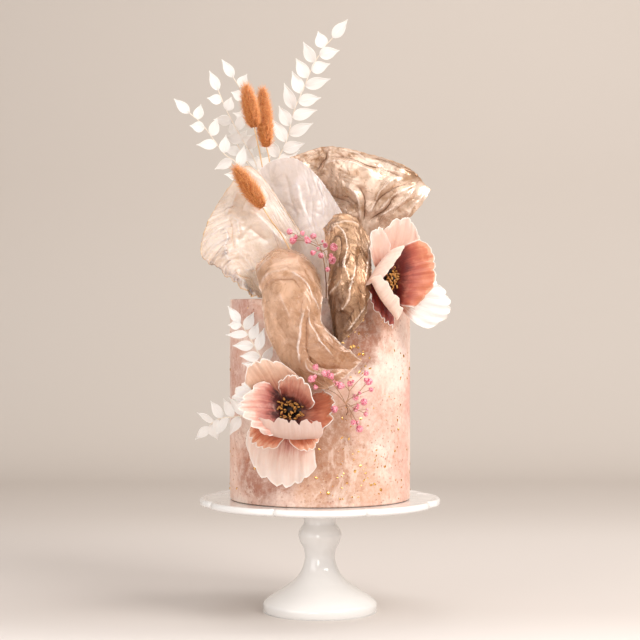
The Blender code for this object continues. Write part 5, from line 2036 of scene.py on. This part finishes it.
SAILS = (
    Sail(
        "pearl_sail_right", "pale_sail_right", "pale_paper", Wash.PEARL,
        ((-12, 4), (-7, -1), (-2, -2), (3, 0), (7, 4)),
        (
            ((-41, 12, 326), (-31, 4, 328), (-13, -4, 328), (1, -4, 325), (14, 2, 313)),
            ((-60, 18, 365), (-45, 13, 380), (-20, 5, 382), (2, -1, 362), (20, 1, 334)),
        ),
        folds=1.6, depth=2.0, crumple_size=24.0, crumple_depth=0.7, frill=0.5, seed=3,
        pleats=(
            Fold(((-21, 367), (-18, 356), (-16, 344), (-10, 330), (-5, 317)), 1.5, 2.4, -0.5),
            Fold(((-43, 364), (-35, 350), (-29, 337), (-22, 328), (-15, 318)), 1.4, 2.8, -0.4),
            Fold(((-7, 351), (-6, 341), (-7, 329), (-4, 318)), -1.5, 2.2, 0.25),
            Fold(((-30, 373), (-27, 359), (-24, 345), (-17, 329)), -1.3, 2.6, 0.2),
            Fold(((-2, 371), (1, 356), (3, 343), (1, 330)), 1.6, 2.0, -0.7),
            Fold(((-13, 375), (-10, 362), (-8, 350)), -1.0, 1.6, 0.2),
        ),
    ),
    Sail(
        "pearl_sail_left", "pale_sail_left", "pale_paper", Wash.SHELL,
        ((-49, -42), (-47, -35), (-46, -30), (-43, -22), (-40, -15), (-38, -11), (-35, -8)),
        (
            ((-50, -55, 266), (-60, -51, 274), (-70, -44, 289), (-69, -34, 305), (-59, -25, 320),
             (-46, -19, 328), (-25, -12, 301)),
            ((-49, -65, 262), (-72, -54, 279), (-97, -38, 297), (-93, -29, 327), (-76, -21, 356),
             (-57, -14, 373), (-14, -12, 317)),
        ),
        folds=1.9, depth=2.0, phase=1.0, crumple_size=11.0, crumple_depth=1.3, frill=1.0, seed=7,
        crumple_where=lambda u, v: 0.2 + 1.7 * smoothstep(u, 0.35, 0.9) * (1.0 - smoothstep(v, 0.45, 0.75)),
        pleats=(
            Fold(((-81, 324), (-77, 314), (-78, 306), (-77, 298), (-73, 289)), 2.6, 2.0, -0.6),
            Fold(((-72, 333), (-69, 327), (-68, 319), (-66, 312)), 2.0, 2.0, -0.5),
            Fold(((-76, 336), (-73, 324), (-72, 312), (-70, 301)), -1.8, 1.6, 0.7),
            Fold(((-57, 336), (-48, 328), (-40, 320), (-34, 313), (-26, 306)), 2.4, 2.6, -0.8),
            Fold(((-60, 324), (-53, 318), (-42, 310)), -1.8, 2.2, 0.5),
            Fold(((-62, 341), (-50, 333), (-38, 324), (-24, 312)), -1.6, 2.0, 0.45),
            Fold(((-70, 283), (-63, 276), (-56, 269), (-49, 262)), 2.2, 1.8, -0.7),
            Fold(((-70, 288), (-65, 282), (-56, 278), (-47, 266)), -1.8, 1.6, 0.8),
            Fold(((-73, 305), (-66, 298), (-59, 290), (-56, 284)), 2.0, 2.0, -0.5),
            Fold(((-68, 356), (-71, 346), (-75, 338), (-81, 331)), 1.8, 2.2, -0.5),
            Fold(((-58, 352), (-63, 342), (-66, 334)), -1.6, 1.8, 0.5),
        ),
        shade_and_tone_where=lambda u, v: (0.3 * smoothstep(v, 0.1, 0.3) * (1.0 - smoothstep(v, 0.3, 0.5))
                                 * smoothstep(u, 0.3, 0.8)),
    ),
    Sail(
        "gilded_sail", "gold_sail", "gold_paper", Wash.GOLD,
        ((20, 14), (24, 9), (28, 7), (32, 9), (36, 14)),
        (
            ((22, 16, 314), (28, 7, 318), (34, 3, 320), (40, 6, 319), (48, 14, 312)),
            ((-7, 25, 355), (11, 14, 365), (32, -4, 365), (56, -5, 358), (79, 6, 335)),
            ((-28, 32, 386), (1, 22, 394), (30, 10, 389), (67, 4, 379), (94, 12, 356)),
        ),
        folds=1.7, depth=2.0, phase=0.6, crumple_size=12.0, crumple_depth=1.1, frill=0.5, seed=12,
        crumple_where=lambda u, v: 1.0 - 0.85 * smoothstep(v, 0.35, 0.6),
        pleats=(
            Fold(((41, 385), (50, 380), (58, 376), (66, 373), (74, 371), (82, 366), (89, 359)), 3.4, 2.4,
                 0.8),
            Fold(((91, 360), (92, 352), (88, 344), (82, 337)), 1.5, 4.5, -1.0),
            Fold(((1, 382), (10, 385), (21, 384), (33, 380), (42, 376), (54, 372), (65, 367), (76, 363)),
                 -3.0, 1.6, 1.0),
            Fold(((4, 378), (14, 380), (26, 378), (38, 373), (50, 368)), 2.4, 2.0, -0.55),
            Fold(((7, 392), (19, 389), (30, 386), (39, 380), (50, 374), (61, 370), (73, 367), (82, 362)),
                 2.2, 2.0, -0.4),
            Fold(((6, 394), (4, 384), (0, 380), (-5, 372)), -3.5, 1.8, 1.0),
            Fold(((9, 392), (8, 383), (5, 376), (0, 368)), 2.7, 1.8, -0.45),
            Fold(((36, 325), (38, 333), (38, 340), (38, 347), (34, 354), (31, 360)), -4.1, 2.2, 1.0),
            Fold(((33, 328), (34, 337), (33, 346), (28, 355), (22, 362)), 3.0, 2.4, -0.5),
            Fold(((36, 326), (42, 339), (47, 347), (51, 355), (58, 361), (66, 366)), 4.1, 1.8, -0.55),
            Fold(((39, 327), (47, 333), (54, 338), (58, 343), (62, 349), (68, 354)), -4.1, 1.8, 1.0),
            Fold(((42, 337), (50, 348), (60, 355), (70, 359), (81, 362)), -3.5, 1.7, 1.0),
            Fold(((44, 332), (53, 342), (62, 351), (73, 357), (84, 361)), 3.5, 1.6, -0.55),
            Fold(((47, 331), (56, 337), (65, 343), (74, 351), (83, 360)), 3.2, 1.6, -0.6),
            Fold(((4, 349), (11, 344), (21, 340), (33, 331)), 2.7, 2.6, -0.4),
            Fold(((0, 360), (9, 352), (19, 347), (31, 339)), -2.7, 2.2, 0.7),
            Fold(((22, 352), (24, 347), (28, 344), (34, 342)), -2.4, 1.5, 0.8),
            Fold(((-16, 380), (-9, 370), (-2, 362), (6, 356)), -2.4, 2.4, 0.7),
            Fold(((-20, 386), (-12, 378), (-6, 368), (2, 364)), 2.4, 2.4, -0.4),
            Fold(((60, 336), (68, 341), (76, 346), (86, 352)), -2.4, 1.8, 0.5),
            Fold(((72, 333), (77, 340), (83, 347), (88, 355)), 2.4, 1.8, -0.5),
        ),
        # Painted shade on the shadowed lower left and along the rolled top edge, which is partly the paper's
        # rolled-over back.
        shade_and_tone_where=lambda u, v: (0.75 * (1.0 - smoothstep(u, 0.35, 0.7)) * smoothstep(v, 0.3, 0.5)
                                 + 0.7 * smoothstep(u, 0.9, 0.95) * smoothstep(v, 0.4, 0.55)
                                 * (1.0 - smoothstep(v, 0.86, 0.95))),
    ),
    Sail(
        "champagne_hood", "champagne_drape", "champagne_paper", Wash.CHAMPAGNE,
        ((-28, -24), (-21, -24), (-15, -24), (-8, -24), (-2, -24)),
        (
            ((-46, -38, 290), (-34, -38, 302), (-20, -36, 300), (-10, -35, 291), (-3, -33, 283)),
            ((-52, -64, 286), (-38, -76, 293), (-20, -78, 293), (-8, -73, 289), (0, -62, 278)),
            ((-46, -84, 263), (-34, -95, 264), (-20, -99, 264), (-8, -95, 264), (2, -86, 261)),
            ((-43, -86, 241), (-31, -95, 237), (-18, -99, 237), (-7, -97, 239), (2, -89, 244)),
            ((-36, -86, 222), (-24, -94, 215), (-9, -101, 215), (4, -99, 223), (16, -91, 226)),
            ((-21, -84, 203), (-9, -90, 194), (3, -96, 190), (18, -93, 199), (34, -84, 213)),
        ),
        folds=1.2, depth=1.2, phase=2.0, crumple_size=15.0, crumple_depth=0.55, frill=0.6, seed=21,
        pleats_from=0.3,
        pleats=(
            Fold(((-46, 265), (-44, 273), (-37, 277), (-29, 278), (-21, 278), (-17, 273), (-14, 265)), -2.2,
                 1.7, 0.8),
            Fold(((-51, 281), (-44, 290), (-32, 300)), 1.6, 2.2, -0.5),
            Fold(((-49, 272), (-41, 281), (-31, 284), (-22, 285)), 1.8, 2.2, -0.6),
            Fold(((-27, 285), (-19, 281), (-12, 275), (-7, 265), (-3, 258), (0, 250)), 2.4, 1.8, -0.9),
            Fold(((-3, 271), (-2, 263), (2, 256)), -1.6, 1.6, 0.4),
            Fold(((-34, 271), (-29, 260), (-25, 251), (-22, 246)), 1.5, 2.6, -0.35),
            Fold(((-11, 265), (-14, 256), (-16, 247), (-22, 238)), -2.0, 2.0, 0.5),
            Fold(((-11, 257), (-15, 243), (-16, 231), (-16, 220), (-15, 208)), 3.0, 1.9, -1.0),
            Fold(((-7, 254), (-10, 243), (-11, 231), (-9, 220), (-3, 208)), -2.6, 1.8, 0.8),
            Fold(((-9, 260), (-8, 244), (-3, 234), (2, 226), (13, 213)), 2.6, 1.6, -0.9),
            Fold(((-5, 252), (-3, 241), (2, 232), (10, 224), (22, 213)), -2.2, 1.5, 0.6),
            Fold(((1, 243), (5, 235), (12, 229), (20, 222), (30, 214)), 2.2, 1.5, -1.0),
            Fold(((-9, 221), (-7, 214), (-3, 210), (6, 207), (16, 207), (29, 207)), -2.2, 1.5, 1.0),
            Fold(((-12, 216), (-9, 208), (-3, 204), (8, 202), (20, 205)), 1.8, 1.5, -0.7),
            Fold(((-43, 263), (-44, 252), (-41, 239), (-34, 227)), 1.2, 2.6, -0.3),
            Fold(((-36, 258), (-34, 246), (-29, 236), (-24, 226)), -1.1, 2.8, 0.2),
        ),
        shade_and_tone_where=lambda u, v: smoothstep(u, 0.6, 0.85) * smoothstep(v, 0.15, 0.45),
    ),
    Sail(
        "bronze_hood", "bronze_drape", "bronze_paper", Wash.BRONZE,
        ((12, -26), (18, -26), (25, -26), (31, -26)),
        (
            ((8, -26, 303), (17, -23, 309), (27, -23, 308), (35, -26, 302)),
            ((3, -36, 320), (14, -36, 332), (28, -36, 330), (39, -36, 314)),
            ((6, -56, 304), (15, -66, 309), (28, -65, 309), (40, -52, 301)),
            ((7, -72, 282), (15, -84, 284), (28, -83, 284), (40, -68, 279)),
            ((7, -80, 261), (15, -90, 260), (28, -90, 260), (38, -75, 263)),
            ((12, -80, 227), (16, -82, 226), (24, -80, 233), (33, -77, 245)),
        ),
        folds=1.2, depth=1.2, phase=0.4, crumple_size=10.0, crumple_depth=0.9, frill=0.9, seed=33,
        pleats_from=0.24,
        pleats=(
            Fold(((8, 314), (11, 320), (17, 324), (24, 325), (30, 323), (33, 319)), 1.8, 1.8, -0.7),
            Fold(((6, 305), (7, 313), (11, 318), (15, 319), (19, 313), (21, 305), (21, 296), (19, 289),
                  (22, 280), (23, 273)), 2.8, 1.6, -1.0),
            Fold(((10, 306), (12, 313), (16, 312), (17, 303), (15, 292), (17, 282)), -2.4, 1.7, 1.0),
            Fold(((23, 273), (23, 265), (19, 256), (13, 251)), 2.2, 1.6, -0.8),
            Fold(((29, 292), (27, 283), (25, 274), (22, 266)), 2.4, 1.5, -1.0),
            Fold(((33, 302), (31, 295), (30, 285), (29, 277)), -2.0, 1.5, 0.8),
            Fold(((37, 313), (38, 301), (37, 287), (36, 278), (35, 266)), 2.2, 1.6, -0.9),
            Fold(((31, 274), (33, 268), (37, 265)), -1.6, 1.4, 0.7),
            Fold(((36, 259), (31, 251), (25, 243), (19, 235)), 2.2, 1.5, -0.9),
            Fold(((29, 256), (23, 246), (17, 238)), -2.0, 1.6, 0.8),
            Fold(((18, 278), (12, 270), (8, 264)), 1.6, 1.6, -0.5),
            Fold(((14, 262), (17, 250), (19, 240)), -1.8, 1.8, 0.6),
        ),
        # Painted shade inside the hood and down its lower part.
        shade_and_tone_where=lambda u, v: ((1.0 - smoothstep(v, 0.3, 0.6)) * smoothstep(u, 0.48, 0.6)
                                 + 0.8 * smoothstep(u, 0.7, 0.86)),
    ),
)

SPRIGS = (
    Sprig("sprig_tall", ((-39, 30, STEM_FOOT), (-43, 37, 315), (-43, 42, 358), (-38, 44, 382),
                         (-29, 44, 402), (-23, 42, 426), (-14, 38, 447), (-7, 33, 463), (2, 28, 478),
                         (11, 24, 488)), 19, 0.4, 24.0, 11.0, 50.0, tip_share=0.84, seed=1),
    Sprig("sprig_left_inner", ((-34, 30, STEM_FOOT), (-38, 42, 332), (-49, 54, 380), (-58, 54, 413),
                               (-67, 53, 442), (-76, 52, 458)), 10, 0.5, 18.5, 9.5, seed=2),
    Sprig("sprig_left_middle", ((-43, 22, STEM_FOOT), (-45, 30, 332), (-55, 36, 379), (-68, 36, 403),
                                (-81, 35, 427), (-88, 34, 444)), 10, 0.5, 18.5, 9.5, first_side=Hand.RIGHT,
          seed=3),
    Sprig("sprig_left_outer", ((-48, 14, STEM_FOOT), (-55, 28, 332), (-69, 28, 376), (-83, 24, 389),
                               (-100, 22, 412), (-112, 22, 423)), 10, 0.5, 19.0, 9.5, tip_share=0.95,
          seed=4),
    Sprig("sprig_left_back", ((-28, 36, STEM_FOOT), (-35, 54, 324), (-51, 64, 364), (-65, 66, 386),
                              (-74, 66, 404), (-71, 66, 418)), 9, 0.55, 18.0, 9.5, seed=5),
    Sprig("sprig_side_up", ((-43, -74, 204), (-47, -78, 215), (-53, -78, 226), (-59, -73, 236),
                            (-64, -69, 243)), 9, 0.08, 18.5, 8.5, 56.0, seed=6),
    Sprig("sprig_side_low", ((-50, -74, 172), (-57, -73, 170), (-66, -71, 168), (-76, -66, 167),
                             (-85, -58, 164), (-90, -53, 159)), 8, 0.2, 19.5, 8.8, 54.0, Hand.RIGHT,
          seed=7),
)

TAILS = (
    Tail("tail_left", ((-31, 16, STEM_FOOT), (-41, 20, 327), (-50, 25, 379), (-56, 15, 410)),
         (-63, 8.5, 444), seed=3),
    Tail("tail_right", ((-26, 20, STEM_FOOT), (-37, 23, 327), (-43, 24, 379), (-46, 23, 394)),
         (-49.6, 23, 444), seed=4),
    Tail("tail_low", ((-18, -13, STEM_FOOT), (-22, -22, 294), (-30, -27, 313), (-40, -33, 327),
                      (-47, -36, 338)), (-70, -37.8, 371), seed=5),
)

SPRAYS = (
    Spray("blossoms_top", ((5, -45, STEM_FOOT), (5, -58, 275), (3.5, -68, 290), (1, -72, 301)),
          ((-24, -50, 317), (-21, -54, 310), (-14, -60, 315), (-9, -66, 309), (-5, -56, 313), (4, -82, 305),
           (10, -86, 303), (-5, -82, 299), (1, -86, 297), (9, -94, 293), (6, -90, 286)), seed=2),
    Spray("blossoms_low", ((21, -78.5, 170), (22, -90, 174), (20, -103, 180)),
          ((-3, -110, 208), (-6, -108, 199), (-3, -107, 193), (4, -106, 203), (9, -106, 201),
           (13, -104, 195), (17, -103, 194), (23, -102, 195), (36, -92, 203), (38, -88, 196),
           (40, -84, 190), (28, -92, 185), (34, -84, 180), (36, -82, 171), (12, -103, 176), (28, -88, 175),
           (26, -88, 165), (31, -83, 160)), seed=5),
)


def main() -> None:
    """Build every sub-assembly in order."""
    logging.basicConfig(level=logging.INFO, format="%(name)s %(message)s")
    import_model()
    Studio().build(Backdrop().build())
    Stand().build(Porcelain().build())
    metal = Plain("metal_leaf", (0.90, 0.55, 0.20), (0.58, 0.27, 0.06), 300.0, 0.22, 1.0).build()
    Cake().build(Icing().build(), metal)
    papers = {wash: wash.value.build() for wash in Wash}
    for sail in SAILS:
        sail.build(papers[sail.paper])
    tones = {tone: tone.value.build() for tone in Tone}
    heart = Plain("poppy_heart", (0.02, 0.006, 0.005), (0.008, 0.003, 0.003), 500.0, 0.7).build()
    anther = Plain("anther", (0.72, 0.34, 0.07), (0.22, 0.07, 0.015), 500.0, 0.4).build()
    sepal = Plain("poppy_sepal", (0.50, 0.40, 0.25), (0.32, 0.25, 0.14), 260.0, 0.6).build()
    for poppy in (FRONT_POPPY, TOP_POPPY):
        poppy.build(tones, heart, anther, sepal)
    leaf = LeafPaper().build()
    twig = Plain("bleached_twig", (0.88, 0.78, 0.66), (0.78, 0.64, 0.50), 200.0, 0.6).build()
    for sprig in SPRIGS:
        sprig.build(leaf, twig)
    fur = Plain("bunny_tail_fur", (1.0, 0.45, 0.11), (0.72, 0.15, 0.012), 620.0, 0.7, glow=0.2).build()
    core = Plain("bunny_tail_core", (0.60, 0.17, 0.035), (0.42, 0.10, 0.02), 200.0, 0.8).build()
    straw = Plain("straw_stem", (0.78, 0.50, 0.26), (0.62, 0.36, 0.16), 180.0, 0.6).build()
    for tail in TAILS:
        tail.build(fur, core, straw)
    pink = Plain("pink_blossom", (0.98, 0.52, 0.56), (0.70, 0.05, 0.13), 900.0, 0.5, glow=0.2).build()
    wire = Plain("blossom_stalk", (0.42, 0.22, 0.12), (0.26, 0.12, 0.06), 300.0, 0.6).build()
    for spray in SPRAYS:
        spray.build(pink, wire)


if __name__ == "__main__":
    main()
